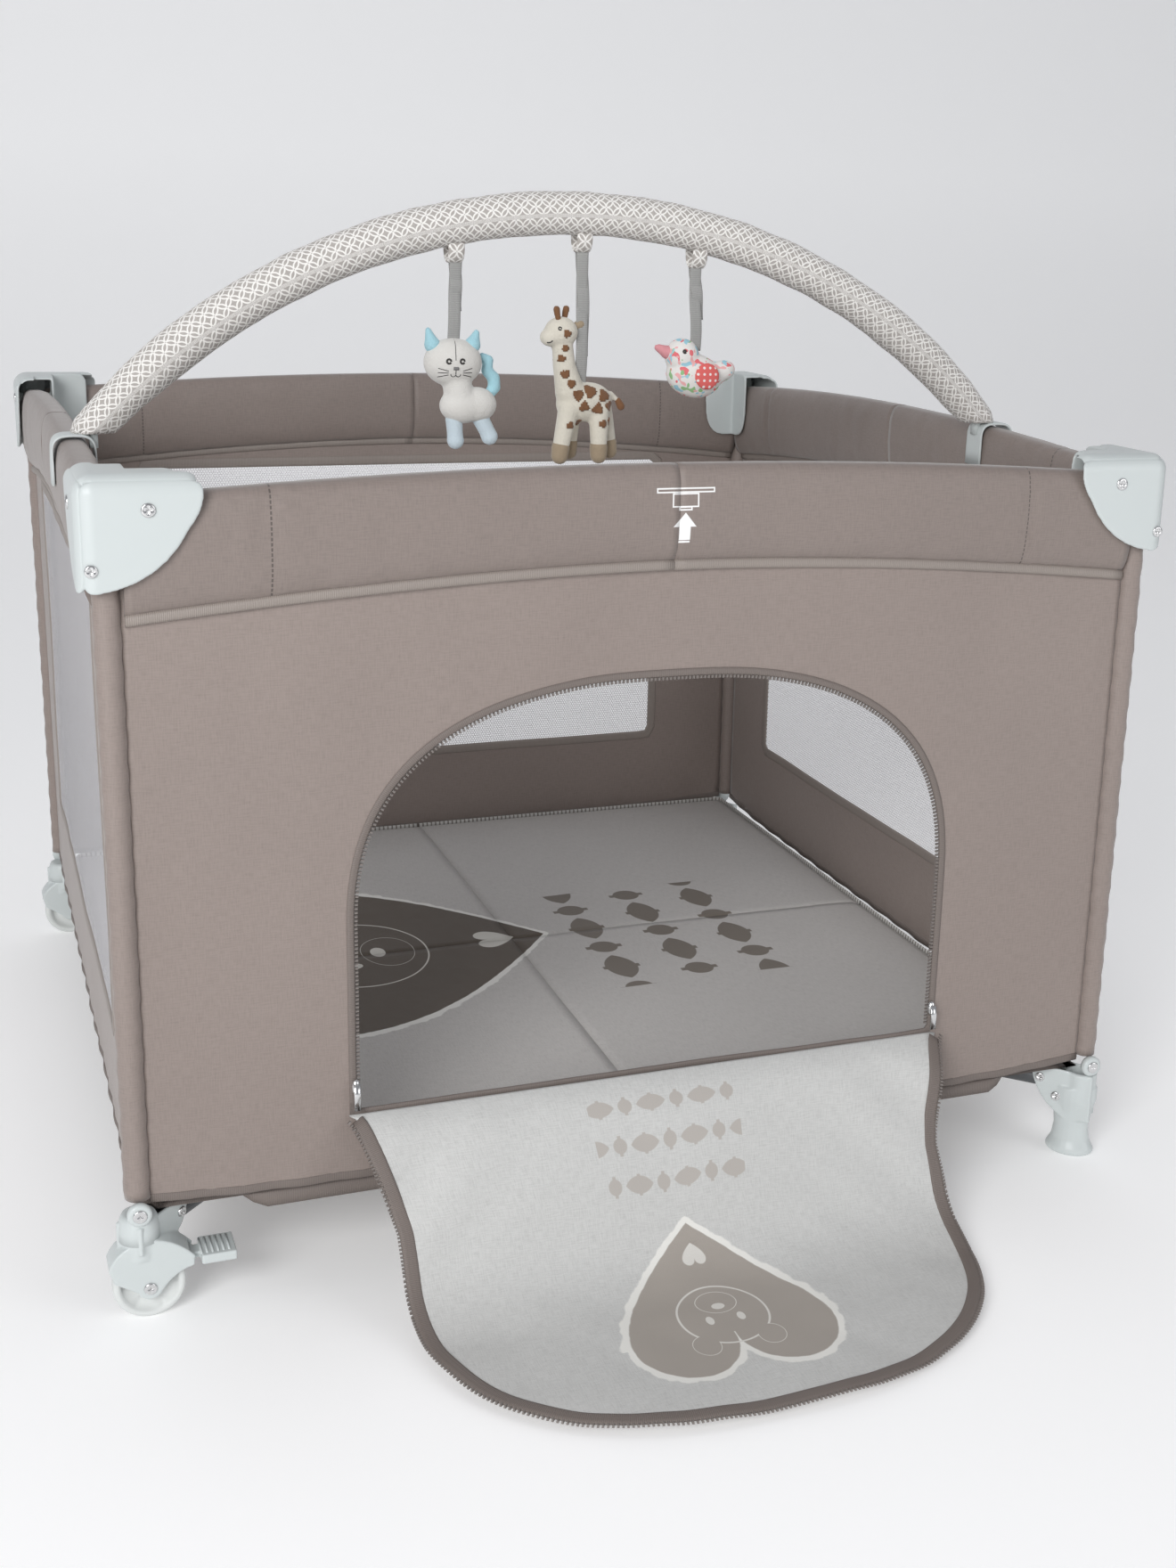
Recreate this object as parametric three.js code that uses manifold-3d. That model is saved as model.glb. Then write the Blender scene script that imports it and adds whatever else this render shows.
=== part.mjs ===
// Square folding playpen with a zipped crawl-through door and a toy bow.
// Millimetres, +Z up, X to the right, Y to the back. Four corner posts stand on two braked
// wheels (left) and two feet (right). Four diagonal legs meet in a hub under the floor mat, and
// each top rail folds at a two-pivot lock in its middle, so the frame folds to a narrow bundle.
import * as THREE from "three";
import { mergeVertices } from "three/addons/utils/BufferGeometryUtils.js";
import Module from "manifold-3d";

const wasm = await Module();
wasm.setup();

// ---- Driving dimensions -------------------------------------------------------------------
const CLEAR = 0.3; // gap between pieces that touch
const POST_SPACING = 950; // between post axes, both ways
const WHEEL_R = 31;
const POST_BOTTOM = 2 * WHEEL_R + 2.5;
const LEG_Z = POST_BOTTOM + 11.5; // height of the leg pivots, which the whole base follows
const POST_R = 11;
const SLEEVE_R = POST_R + 2; // room that the fabric sleeve on a post takes
const RAIL_Z = 705; // height of the top rail pivots
const RAIL_R = 8;
const RAIL_PIVOT = 33.5; // post axis to rail pivot
const LOCK_PIVOT = 20; // middle of a side to each lock pivot
const LEG_R = 9;
const LEG_PIVOT = 30; // post axis to leg pivot, along the diagonal
const PAD_T = 30; // padded band over a rail: thickness
const PAD_WALL = 4;
const LOCK_HALF = PAD_T / 2 - PAD_WALL - 1.5; // the lock fits in the band
const LOCK_WALL = 3;
const TAB_T = 2 * (LOCK_HALF - LOCK_WALL) - 3; // flattened rail end between the lock's cheeks
const PAD_TOP = RAIL_Z + 22;
const PAD_BOTTOM = RAIL_Z - 85;
const PAD_START = RAIL_PIVOT + 16.5; // post axis to the end of the band
const CAP_REACH = 76; // post axis to the end of a corner cap
const CAP_OUT = PAD_T / 2 + 7; // rail centre plane to the cap's outer face
const CAP_WALL = 3;
const CAP_TOP = PAD_TOP + 5;
const CAP_TIP = PAD_BOTTOM + 20; // lowest point of a cap
const CAP_END_R = 15; // rounding of its end, along the rail
const SHEET_T = 3; // wall fabric
const WALL_OUT = 2; // wall sheet stands this far outside the post plane
const WALL_BOTTOM = LEG_Z + 24;
const DOOR_HALF = POST_SPACING / 2 - 188;
const DOOR_TOP = PAD_BOTTOM - 75;
const DOOR_SILL = LEG_Z + 89;
const DOOR_SPRING = DOOR_SILL + 0.434 * (DOOR_TOP - DOOR_SILL); // where the straight sides end
const DOOR_POWER = 2.5; // superellipse power of the arch
const FLAP_T = 3;
const FLAP_MARGIN = 8; // flap is wider than the door by this on each side
const FLAP_TAPER = 0.12; // share of its width that the sagging flap loses below the sill
const MAT_T = 18;
const MAT_TOP = LEG_Z + 39;
const MAT_INSET = 16; // post plane to mat edge
const MAT_GAP = 1; // between the mat's quarters
const WHEEL_T = 18;
const WHEEL_X = 6; // wheel axle from the post axis, towards the inside
const AXLE_R = 4;
const CHEEK_IN = 11; // wheel housing: inside of a cheek
const CHEEK_T = 3;
const PEDAL_X = WHEEL_R + 3; // pedal pivot from the wheel axle
const PEDAL_Z = WHEEL_R + 21;
const BOW_Y = -200; // the bow stands in front of the middle
const BOW_APEX = PAD_TOP + 208; // height of its centre line
const BOW_R = 20;
const BOW_END_Z = PAD_TOP + 25;
const BOW_INSET = 34; // from a side's rail plane to the bow's middle line at that height
const BOW_SINK = 34; // the bow goes on below that height until it meets its clip
const TONGUE = [8, 12, 10]; // clip's tongue in the bow's end

// ---- Values that follow -------------------------------------------------------------------
const HALF = POST_SPACING / 2;
const RAIL_LEN = HALF - RAIL_PIVOT - LOCK_PIVOT; // pivot to pivot
const LEG_LEN = RAIL_LEN * Math.SQRT2; // so that legs and rails fold through one angle
const BOW_RISE = BOW_APEX - BOW_END_Z;
const BOW_RADIUS = ((HALF - BOW_INSET) ** 2 + BOW_RISE ** 2) / (2 * BOW_RISE);
const HUB_PIVOT = (RAIL_PIVOT + LOCK_PIVOT) * Math.SQRT2 - LEG_PIVOT;

// ---- Finishes -----------------------------------------------------------------------------
const finish = (color, roughness, metalness) =>
  new THREE.MeshStandardMaterial({ color, roughness, metalness });
const TAUPE = finish(0x8f827b, 0.55, 0);
const PALE_PLASTIC = finish(0xcfd8d5, 0.45, 0);
const STEEL = finish(0x6d6f72, 0.35, 0.9);
const MAT_CLOTH = finish(0xc9c6c0, 0.8, 0);
const FLAP_CLOTH = finish(0xe2e1dd, 0.8, 0);
const BOW_CLOTH = finish(0xd6d2cc, 0.8, 0);
const PLUSH = finish(0xf0eee8, 0.95, 0);

// ---- Solids -------------------------------------------------------------------------------
/** Closed three.js geometry to a solid. */
function solid(geometry) {
  const bare = geometry.clone();
  for (const name of ["normal", "uv"]) bare.deleteAttribute(name);
  const merged = mergeVertices(bare.index ? bare.toNonIndexed() : bare, 1e-4);
  const mesh = new wasm.Mesh({
    numProp: 3,
    vertProperties: new Float32Array(merged.attributes.position.array),
    triVerts: new Uint32Array(merged.index.array),
  });
  return new wasm.Manifold(mesh);
}

/** Solid back to a geometry with flat faces. */
function geometryOf(body) {
  const mesh = body.getMesh();
  const geometry = new THREE.BufferGeometry();
  geometry.setAttribute("position", new THREE.BufferAttribute(new Float32Array(mesh.vertProperties), 3));
  geometry.setIndex(new THREE.BufferAttribute(new Uint32Array(mesh.triVerts), 1));
  geometry.computeVertexNormals();
  return geometry;
}

/** Box between two corners. */
function box(x0, y0, z0, x1, y1, z1) {
  const geometry = new THREE.BoxGeometry(x1 - x0, y1 - y0, z1 - z0);
  return solid(geometry.translate((x0 + x1) / 2, (y0 + y1) / 2, (z0 + z1) / 2));
}

/** Cylinder of radius r about a line along "x", "y" or "z", from a to b. */
function rod(axis, r, a, b, at = [0, 0, 0], sides = 20) {
  const geometry = new THREE.CylinderGeometry(r, r, b - a, sides);
  geometry.translate(0, (a + b) / 2, 0);
  if (axis === "x") geometry.rotateZ(-Math.PI / 2);
  if (axis === "z") geometry.rotateX(Math.PI / 2);
  return solid(geometry.translate(...at));
}

/** Outline in the X-Z plane, given thickness from y0 to y1. */
function plate(shape, y0, y1, curveSegments = 6) {
  const geometry = new THREE.ExtrudeGeometry(shape, { depth: y1 - y0, bevelEnabled: false, curveSegments });
  return solid(geometry.rotateX(Math.PI / 2).translate(0, y1, 0));
}

/** Solid of revolution about Z from [radius, height] pairs that start and end on the axis. */
function turned(profile, sides = 22) {
  const geometry = new THREE.LatheGeometry(profile.map(([r, z]) => new THREE.Vector2(r, z)), sides);
  return solid(geometry.rotateX(Math.PI / 2));
}

/** Ball with three radii. */
function egg(rx, ry, rz, at) {
  const geometry = new THREE.SphereGeometry(1, 12, 8).scale(rx, ry, rz);
  return solid(geometry.translate(...at));
}

const group = new THREE.Group();
const playpen = new THREE.Group();
group.add(playpen);

/** Adds one named piece, turned about Z and moved. */
function add(name, body, material, { at = [0, 0, 0], turn = 0 } = {}) {
  const mesh = new THREE.Mesh(geometryOf(body), material);
  mesh.name = name;
  mesh.position.set(...at);
  mesh.rotation.z = turn;
  playpen.add(mesh);
}

// Corners in turning order from the front left; a quarter turn takes one to the next.
const CORNERS = ["front_left", "front_right", "back_right", "back_left"];
const quarter = (k) => (k * Math.PI) / 2;
const DIAGONAL = Math.PI / 4;
/** A body made along the diagonal at the front left post, +X towards the hub. */
const onDiagonal = (body) => body.rotate([0, 0, 45]).translate([-HALF, -HALF, 0]);
/** Place of the post that corner k stands on. */
const UP = new THREE.Vector3(0, 0, 1);
const postPlace = (k) => new THREE.Vector3(-HALF, -HALF, 0).applyAxisAngle(UP, quarter(k));

// ---- Posts and corner caps ----------------------------------------------------------------
function post() {
  const tube = rod("z", POST_R, POST_BOTTOM, CAP_TOP - CAP_WALL - 1 - CLEAR, [0, 0, 0], 24);
  return tube.translate([-HALF, -HALF, 0]);
}

/** Rounded triangle of the cap's outer face: s along the rail from the post axis, then height. */
function gusset() {
  const shape = new THREE.Shape();
  shape.moveTo(-CAP_OUT, CAP_TIP + 14);
  shape.quadraticCurveTo(-CAP_OUT, CAP_TIP, -CAP_OUT + 14, CAP_TIP);
  shape.quadraticCurveTo(CAP_REACH * 0.55, CAP_TIP + 6, CAP_REACH * 0.85, CAP_TOP - 42);
  shape.quadraticCurveTo(CAP_REACH, CAP_TOP - 28, CAP_REACH, CAP_TOP - CAP_END_R);
  shape.quadraticCurveTo(CAP_REACH, CAP_TOP, CAP_REACH - CAP_END_R, CAP_TOP);
  shape.lineTo(-CAP_OUT + 14, CAP_TOP);
  shape.quadraticCurveTo(-CAP_OUT, CAP_TOP, -CAP_OUT, CAP_TOP - 14);
  return shape;
}

/** Shorter tongue of the cap's inner face. */
function tongue() {
  const reach = CAP_REACH - 14;
  const shape = new THREE.Shape();
  shape.moveTo(0, RAIL_Z - 58);
  shape.lineTo(reach - 26, RAIL_Z - 58);
  shape.quadraticCurveTo(reach, RAIL_Z - 56, reach, CAP_TOP - 40);
  shape.lineTo(reach, CAP_TOP - 12);
  shape.quadraticCurveTo(reach, CAP_TOP, reach - 12, CAP_TOP);
  shape.lineTo(0, CAP_TOP);
  return shape;
}

function cap() {
  const room = CAP_OUT - CAP_WALL;
  const arm = plate(gusset(), -CAP_OUT, 0).add(plate(tongue(), 0, CAP_OUT));
  const pins = rod("y", 5, TAB_T / 2 + 0.5, CAP_OUT, [RAIL_PIVOT, 0, RAIL_Z], 12)
    .add(rod("y", 5, -CAP_OUT, -TAB_T / 2 - 0.5, [RAIL_PIVOT, 0, RAIL_Z], 12));
  const otherArm = arm.mirror([1, -1, 0]);
  const otherPins = pins.mirror([1, -1, 0]);
  const channel = box(-room, -room, 0, CAP_REACH + 20, room, CAP_TOP - CAP_WALL - 1);
  const shell = arm.add(otherArm).subtract(channel).subtract(channel.mirror([1, -1, 0]));
  const collar = rod("z", POST_R + 4, RAIL_Z - 15, CAP_TOP - CAP_WALL, [0, 0, 0], 24)
    .subtract(rod("z", POST_R + CLEAR, 0, CAP_TOP - CAP_WALL - 1, [0, 0, 0], 24));
  return shell.add(collar).add(pins).add(otherPins).translate([-HALF, -HALF, 0]);
}

CORNERS.forEach((corner, k) => {
  add(`post_${corner}`, post(), TAUPE, { turn: quarter(k) });
  add(`cap_${corner}`, cap(), PALE_PLASTIC, { turn: quarter(k) });
});

// ---- Top rails, padded bands and locks ----------------------------------------------------
const CHEEK = 10; // lock cheek beyond each pivot
const LOCK_RISE = 12; // lock's top above the pivots
const TAB_REACH = Math.hypot(CHEEK, LOCK_RISE) + 1.4; // flattened rail end, clear of the cheek's corner

/** Half rail along +X between its pivots, at the front. */
function rail() {
  const x0 = -HALF + RAIL_PIVOT;
  const x1 = -LOCK_PIVOT;
  const tab = (x, side) =>
    rod("y", RAIL_R, -TAB_T / 2, TAB_T / 2, [x, 0, RAIL_Z])
      .add(box(Math.min(x, x + side * TAB_REACH) - 1, -TAB_T / 2, RAIL_Z - RAIL_R + 1,
        Math.max(x, x + side * TAB_REACH) + 1, TAB_T / 2, RAIL_Z + RAIL_R - 1));
  const tube = rod("x", RAIL_R, x0 + TAB_REACH, x1 - TAB_REACH, [0, 0, RAIL_Z]);
  return tube.add(tab(x0, 1)).add(tab(x1, -1)).translate([0, -HALF, 0]);
}

/** Sleeve of padded fabric round a half rail, open at both ends. */
function pad() {
  const [x0, x1] = [-HALF + PAD_START, -CLEAR];
  const half = PAD_T / 2;
  const outer = box(x0, -half, PAD_BOTTOM, x1, half, PAD_TOP);
  const inside = half - PAD_WALL;
  const inner = box(x0 - 1, -inside, PAD_BOTTOM + PAD_WALL, x1 + 1, inside, PAD_TOP - PAD_WALL);
  return outer.subtract(inner).translate([0, -HALF, 0]);
}

/** Lock housing: a block and two cheeks that hold the two rail ends. */
function lock() {
  const reach = LOCK_PIVOT + CHEEK;
  const core = LOCK_PIVOT - CHEEK;
  const inside = LOCK_HALF - LOCK_WALL;
  const block = box(-core, -LOCK_HALF, RAIL_Z - 2, core, LOCK_HALF, RAIL_Z + LOCK_RISE);
  let body = block;
  for (const side of [-1, 1]) {
    const [y0, y1] = side < 0 ? [-LOCK_HALF, -inside] : [inside, LOCK_HALF];
    body = body.add(box(-reach, y0, RAIL_Z - CHEEK, reach, y1, RAIL_Z + LOCK_RISE));
  }
  return body.translate([0, -HALF, 0]);
}

/** Release button under the block. */
function button() {
  const half = LOCK_PIVOT - CHEEK - 2;
  const width = LOCK_HALF - LOCK_WALL - 1;
  return box(-half, -width, RAIL_Z - 18, half, width, RAIL_Z - 8).translate([0, -HALF, 0]);
}

const SIDES = ["front", "right", "back", "left"];
SIDES.forEach((side, k) => {
  const near = k === 0 ? "left" : CORNERS[k].split("_")[side === "back" ? 1 : 0];
  const far = { front: "right", right: "back", back: "left", left: "front" }[side];
  add(`rail_${side}_${near}`, rail(), STEEL, { turn: quarter(k) });
  add(`rail_${side}_${far}`, rail().mirror([1, 0, 0]), STEEL, { turn: quarter(k) });
  add(`band_${side}_${near}`, pad(), TAUPE, { turn: quarter(k) });
  add(`band_${side}_${far}`, pad().mirror([1, 0, 0]), TAUPE, { turn: quarter(k) });
  add(`lock_${side}`, lock(), PALE_PLASTIC, { turn: quarter(k) });
  add(`lock_button_${side}`, button(), PALE_PLASTIC, { turn: quarter(k) });
});

// ---- Legs and hub -------------------------------------------------------------------------
const FORK_IN = LEG_R + 1.2; // inside of the plates that hold a leg end
const FORK_T = 3.5;

/** Leg along the diagonal from the foot pivot to the hub pivot. */
function leg() {
  const end = (x) => rod("y", LEG_R, -LEG_R, LEG_R, [x, 0, LEG_Z]);
  const tube = rod("x", LEG_R, LEG_PIVOT, LEG_PIVOT + LEG_LEN, [0, 0, LEG_Z]);
  return onDiagonal(tube.add(end(LEG_PIVOT)).add(end(LEG_PIVOT + LEG_LEN)));
}

function hub() {
  let body = rod("z", HUB_PIVOT - LEG_R - 2.5, LEG_Z - 16, LEG_Z + 14, [0, 0, 0], 32);
  for (let k = 0; k < 4; k += 1) {
    for (const side of [-1, 1]) {
      const [y0, y1] = side < 0 ? [-FORK_IN - FORK_T, -FORK_IN] : [FORK_IN, FORK_IN + FORK_T];
      const lug = box(HUB_PIVOT * 0.4, y0, LEG_Z - 10, HUB_PIVOT + 8, y1, LEG_Z + 10);
      body = body.add(lug.rotate([0, 0, 45 + 90 * k]));
    }
  }
  return body;
}

CORNERS.forEach((corner, k) => add(`leg_${corner}`, leg(), STEEL, { turn: quarter(k) }));
add("hub", hub(), PALE_PLASTIC);

// ---- Feet and wheels ----------------------------------------------------------------------
const FORK_TOP = LEG_Z + 20;
const FORK_REACH = LEG_PIVOT + 20;

/** Outline of the plates that hold a leg: distance along the diagonal, then height. */
function forkPlate(bottom) {
  const shape = new THREE.Shape();
  shape.moveTo(-14, bottom);
  shape.lineTo(12, bottom);
  shape.quadraticCurveTo(FORK_REACH - 8, LEG_Z - 22, FORK_REACH, FORK_TOP - 6);
  shape.lineTo(FORK_REACH - 2, FORK_TOP);
  shape.lineTo(-14, FORK_TOP - 4);
  return shape;
}

/** What both kinds of base share: plates for the leg and a collar for the post. */
function legHolder(bottom) {
  const plates = plate(forkPlate(bottom), FORK_IN, FORK_IN + FORK_T)
    .add(plate(forkPlate(bottom), -FORK_IN - FORK_T, -FORK_IN));
  return plates.add(rod("z", POST_R + 5, POST_BOTTOM - 6, FORK_TOP - 4, [0, 0, 0], 28));
}

const legSlot = () =>
  box(LEG_PIVOT - LEG_R - 2.5, -FORK_IN, LEG_Z - LEG_R - 1.5, 90, FORK_IN, LEG_Z + 64);
const postHole = () => rod("z", POST_R + CLEAR, POST_BOTTOM - CLEAR, LEG_Z + 64, [0, 0, 0], 24);

function foot() {
  const profile = [[0, 0], [21, 0], [25, 3], [25, 7], [20, 16], [18, 30], [20, 48], [24, 62], [24, 76], [0, 76]];
  const column = turned(profile)
    .scale([1, 0.72, LEG_Z / 76]).translate([6, 0, 0]);
  return onDiagonal(column.add(legHolder(LEG_Z - 36)).subtract(legSlot()).subtract(postHole()));
}

/** Cheek outline of a wheel housing about the axle: a boss below, two shoulders above. */
function cheekShape() {
  const shape = new THREE.Shape();
  shape.absarc(0, WHEEL_R, 11, Math.PI * 1.1, Math.PI * 1.9, false);
  shape.quadraticCurveTo(24, WHEEL_R + 14, PEDAL_X + 4, PEDAL_Z - 6);
  shape.lineTo(PEDAL_X + 5, PEDAL_Z + 4);
  shape.quadraticCurveTo(20, POST_BOTTOM + 12, 0, POST_BOTTOM + 12);
  shape.quadraticCurveTo(-26, POST_BOTTOM + 10, -34, PEDAL_Z + 2);
  shape.lineTo(-30, PEDAL_Z - 12);
  return shape;
}

/** Housing with its axle, about the post axis; the wheel rolls along X. */
function wheelHousing() {
  const outside = CHEEK_IN + CHEEK_T;
  const cheeks = plate(cheekShape(), -outside, outside).translate([WHEEL_X, 0, 0]);
  const tyreRoom = rod("y", WHEEL_R + 2, -CHEEK_IN, CHEEK_IN, [WHEEL_X, 0, WHEEL_R], 40);
  const pedalRoom = box(WHEEL_X + 12, -CHEEK_IN, 30, WHEEL_X + 60, CHEEK_IN, PEDAL_Z + 7);
  const axle = rod("y", AXLE_R, -outside, outside, [WHEEL_X, 0, WHEEL_R]);
  const holder = legHolder(POST_BOTTOM + 1).subtract(legSlot()).rotate([0, 0, 45]);
  return cheeks.subtract(legSlot().rotate([0, 0, 45])).add(holder)
    .subtract(tyreRoom).subtract(pedalRoom).subtract(postHole()).add(axle);
}

function wheel() {
  const half = WHEEL_T / 2;
  const bore = AXLE_R + 0.5;
  const profile = [[bore, -half], [10, -half], [11, -4], [24, -4], [25, -half], [WHEEL_R - 2, -half],
    [WHEEL_R, -half + 2], [WHEEL_R, half - 2], [WHEEL_R - 2, half], [25, half], [24, 4], [11, 4], [10, half],
    [bore, half], [bore, -half]];
  const geometry = new THREE.LatheGeometry(profile.map(([r, y]) => new THREE.Vector2(r, y)), 28);
  return solid(geometry.translate(WHEEL_X, 0, 0)).translate([0, 0, WHEEL_R]);
}

/** Brake pedal pointing inwards, pivoting on its round root. */
function pedal() {
  const x = WHEEL_X + PEDAL_X;
  const root = rod("y", 5, -CHEEK_IN + 2, CHEEK_IN - 2, [x, 0, PEDAL_Z]);
  const arm = box(x, -7, PEDAL_Z - 3, x + 12, 7, PEDAL_Z + 3);
  const paddle = box(x + 10, -17, PEDAL_Z - 5, x + 40, 17, PEDAL_Z + 4);
  return root.add(arm).add(paddle);
}

const WHEEL_CORNERS = { front: 0, back: 3 };
for (const [end, k] of Object.entries(WHEEL_CORNERS)) {
  const at = postPlace(k).toArray();
  const flip = end === "back" ? (body) => body.mirror([0, 1, 0]) : (body) => body;
  add(`wheel_housing_${end}`, flip(wheelHousing()), PALE_PLASTIC, { at });
  add(`wheel_${end}`, wheel(), PALE_PLASTIC, { at });
  add(`brake_pedal_${end}`, pedal(), PALE_PLASTIC, { at });
}
for (const [end, k] of Object.entries({ front: 1, back: 2 })) {
  add(`foot_${end}`, foot(), PALE_PLASTIC, { turn: quarter(k) });
}

// ---- Walls, door flap and mat -------------------------------------------------------------
const WALL_HALF = HALF - SLEEVE_R - 1;
const WALL_TOP = PAD_BOTTOM - 1;

/** Door outline: straight sides, then a superellipse arch, wider by the margin. */
function doorPoints(margin, steps = 20) {
  const half = DOOR_HALF + margin;
  const rise = DOOR_TOP + margin - DOOR_SPRING;
  const points = [];
  for (let i = 0; i <= steps; i += 1) {
    const angle = (Math.PI * i) / steps;
    const round = (value) => Math.sign(value) * Math.abs(value) ** (2 / DOOR_POWER);
    const height = DOOR_SPRING + rise * Math.abs(round(Math.sin(angle)));
    points.push(new THREE.Vector2(half * round(Math.cos(angle)), height));
  }
  return points;
}

function wall(withDoor) {
  const y = -HALF - WALL_OUT;
  const sheet = box(-WALL_HALF, y - SHEET_T / 2, WALL_BOTTOM, WALL_HALF, y + SHEET_T / 2, WALL_TOP);
  if (!withDoor) return sheet;
  const sill = [-DOOR_HALF, DOOR_HALF].map((x) => new THREE.Vector2(x, DOOR_SILL));
  const outline = [...doorPoints(0), ...sill];
  return sheet.subtract(plate(new THREE.Shape(outline), y - SHEET_T, y + SHEET_T));
}

SIDES.forEach((side, k) => add(`wall_${side}`, wall(side === "front"), TAUPE, { turn: quarter(k) }));

/** Line that the opened flap follows from the sill down to the floor: distance out, height. */
const DRAPE_FALL = [[4, 0.988], [18, 0.958], [46, 0.715], [72, 0.4], [100, 0.158], [140, 0.0424],
  [210, 0.0194]];
const DRAPE_END = 298 + (DOOR_TOP - DOOR_SILL - 380);
const DRAPE = new THREE.CatmullRomCurve3([...DRAPE_FALL, [DRAPE_END, 0.0182]]
  .map(([out, rise]) => new THREE.Vector3(0, -HALF - WALL_OUT - SHEET_T / 2 - out, rise * DOOR_SILL)));

/** Half width of the flap at a share of its length from the sill. */
function flapHalf(share) {
  const height = DOOR_SILL + share * (DOOR_TOP + FLAP_MARGIN - DOOR_SILL);
  const rise = Math.max(0, (height - DOOR_SPRING) / (DOOR_TOP + FLAP_MARGIN - DOOR_SPRING));
  const taper = 1 - FLAP_TAPER * Math.min(1, share / 0.3);
  return taper * (DOOR_HALF + FLAP_MARGIN) * (1 - rise ** DOOR_POWER) ** (1 / DOOR_POWER);
}

/** Curved sheet built row by row: each row has a top and a bottom point at both edges. */
function flap() {
  const rows = 22;
  const positions = [];
  for (let i = 0; i <= rows; i += 1) {
    const share = 0.985 * (i / rows) ** 0.85;
    const point = DRAPE.getPointAt(share);
    const along = DRAPE.getTangentAt(share);
    const normal = new THREE.Vector3(0, along.z, -along.y).multiplyScalar(FLAP_T / 2);
    const half = flapHalf(share);
    for (const [side, up] of [[-1, 1], [1, 1], [1, -1], [-1, -1]]) {
      positions.push(side * half, point.y + up * normal.y, Math.max(1, point.z + up * normal.z));
    }
  }
  const triangles = [];
  const quad = (a, b, c, d) => triangles.push(a, b, c, a, c, d);
  for (let i = 0; i < rows; i += 1) {
    for (let j = 0; j < 4; j += 1) {
      const next = (j + 1) % 4;
      quad(4 * i + j, 4 * i + 4 + j, 4 * i + 4 + next, 4 * i + next);
    }
  }
  quad(0, 1, 2, 3);
  quad(4 * rows + 3, 4 * rows + 2, 4 * rows + 1, 4 * rows);
  return new wasm.Manifold(new wasm.Mesh({
    numProp: 3, vertProperties: new Float32Array(positions), triVerts: new Uint32Array(triangles),
  }));
}
add("door_flap", flap(), FLAP_CLOTH);

/** Quarter of the padded floor mat in the front left. */
function matQuarter() {
  const edge = HALF - MAT_INSET;
  const bite = rod("z", POST_R + 8, 0, 200, [-HALF, -HALF, 0], 20);
  return box(-edge, -edge, MAT_TOP - MAT_T, -MAT_GAP / 2, -MAT_GAP / 2, MAT_TOP).subtract(bite);
}
CORNERS.forEach((corner, k) => add(`mat_${corner}`, matQuarter(), MAT_CLOTH, { turn: quarter(k) }));

// ---- Toy bow ------------------------------------------------------------------------------
const BOW_CENTRE_Z = BOW_APEX - BOW_RADIUS;
const BOW_END_ANGLE = Math.acos((BOW_END_Z - BOW_SINK - BOW_CENTRE_Z) / BOW_RADIUS);
const CLIP_GRIP = 3;
const CLIP_TOP = PAD_TOP + 1 + CLIP_GRIP;
const TONGUE_X = Math.sqrt(BOW_RADIUS ** 2 - (CLIP_TOP + TONGUE[2] / 2 - BOW_CENTRE_Z) ** 2);
const bowPoint = (angle) =>
  new THREE.Vector3(BOW_RADIUS * Math.sin(angle), BOW_Y, BOW_CENTRE_Z + BOW_RADIUS * Math.cos(angle));

/** Tongue of a clip, or with a margin its room in the bow's end. */
const clipTongue = (side, margin) =>
  box(side * TONGUE_X - TONGUE[0] / 2 - margin, BOW_Y - TONGUE[1] / 2 - margin, CLIP_TOP - 1,
    side * TONGUE_X + TONGUE[0] / 2 + margin, BOW_Y + TONGUE[1] / 2 + margin, CLIP_TOP + TONGUE[2] + margin);

/** Bow whose two ends stand flat on the clips. */
function bow() {
  const steps = 30;
  const points = [];
  for (let i = 0; i <= steps; i += 1) {
    points.push(bowPoint(-BOW_END_ANGLE + (2 * BOW_END_ANGLE * i) / steps));
  }
  const section = new THREE.Shape().absarc(0, 0, BOW_R, 0, 2 * Math.PI, false);
  const path = new THREE.CatmullRomCurve3(points);
  const rod = solid(new THREE.ExtrudeGeometry(section, { steps, extrudePath: path, curveSegments: 6 }));
  const below = box(-HALF * 2, -HALF, 0, HALF * 2, HALF, CLIP_TOP + CLEAR);
  return rod.subtract(below).subtract(clipTongue(-1, 0.6)).subtract(clipTongue(1, 0.6));
}
add("bow", bow(), BOW_CLOTH);

/** Clip that straddles the band of a side rail and carries a bow end on its tongue. */
function bowClip() {
  const half = PAD_T / 2;
  const width = 17;
  const saddle = box(-half - 1 - CLIP_GRIP, -width, PAD_TOP - 42, half + 1 + CLIP_GRIP, width, CLIP_TOP)
    .subtract(box(-half - 1, -width - 1, 0, half + 1, width + 1, PAD_TOP + 1));
  return saddle.translate([-HALF, BOW_Y, 0]).add(clipTongue(-1, 0));
}
add("bow_clip_left", bowClip(), PALE_PLASTIC);
add("bow_clip_right", bowClip().mirror([1, 0, 0]), PALE_PLASTIC);

/** Strap from the bow at x down to the toy. */
function strap(x, bottom) {
  const top = bowPoint(Math.asin(x / BOW_RADIUS)).z - BOW_R - 2;
  return box(x - 6, -1.5, bottom, x + 6, 1.5, top);
}

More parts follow.
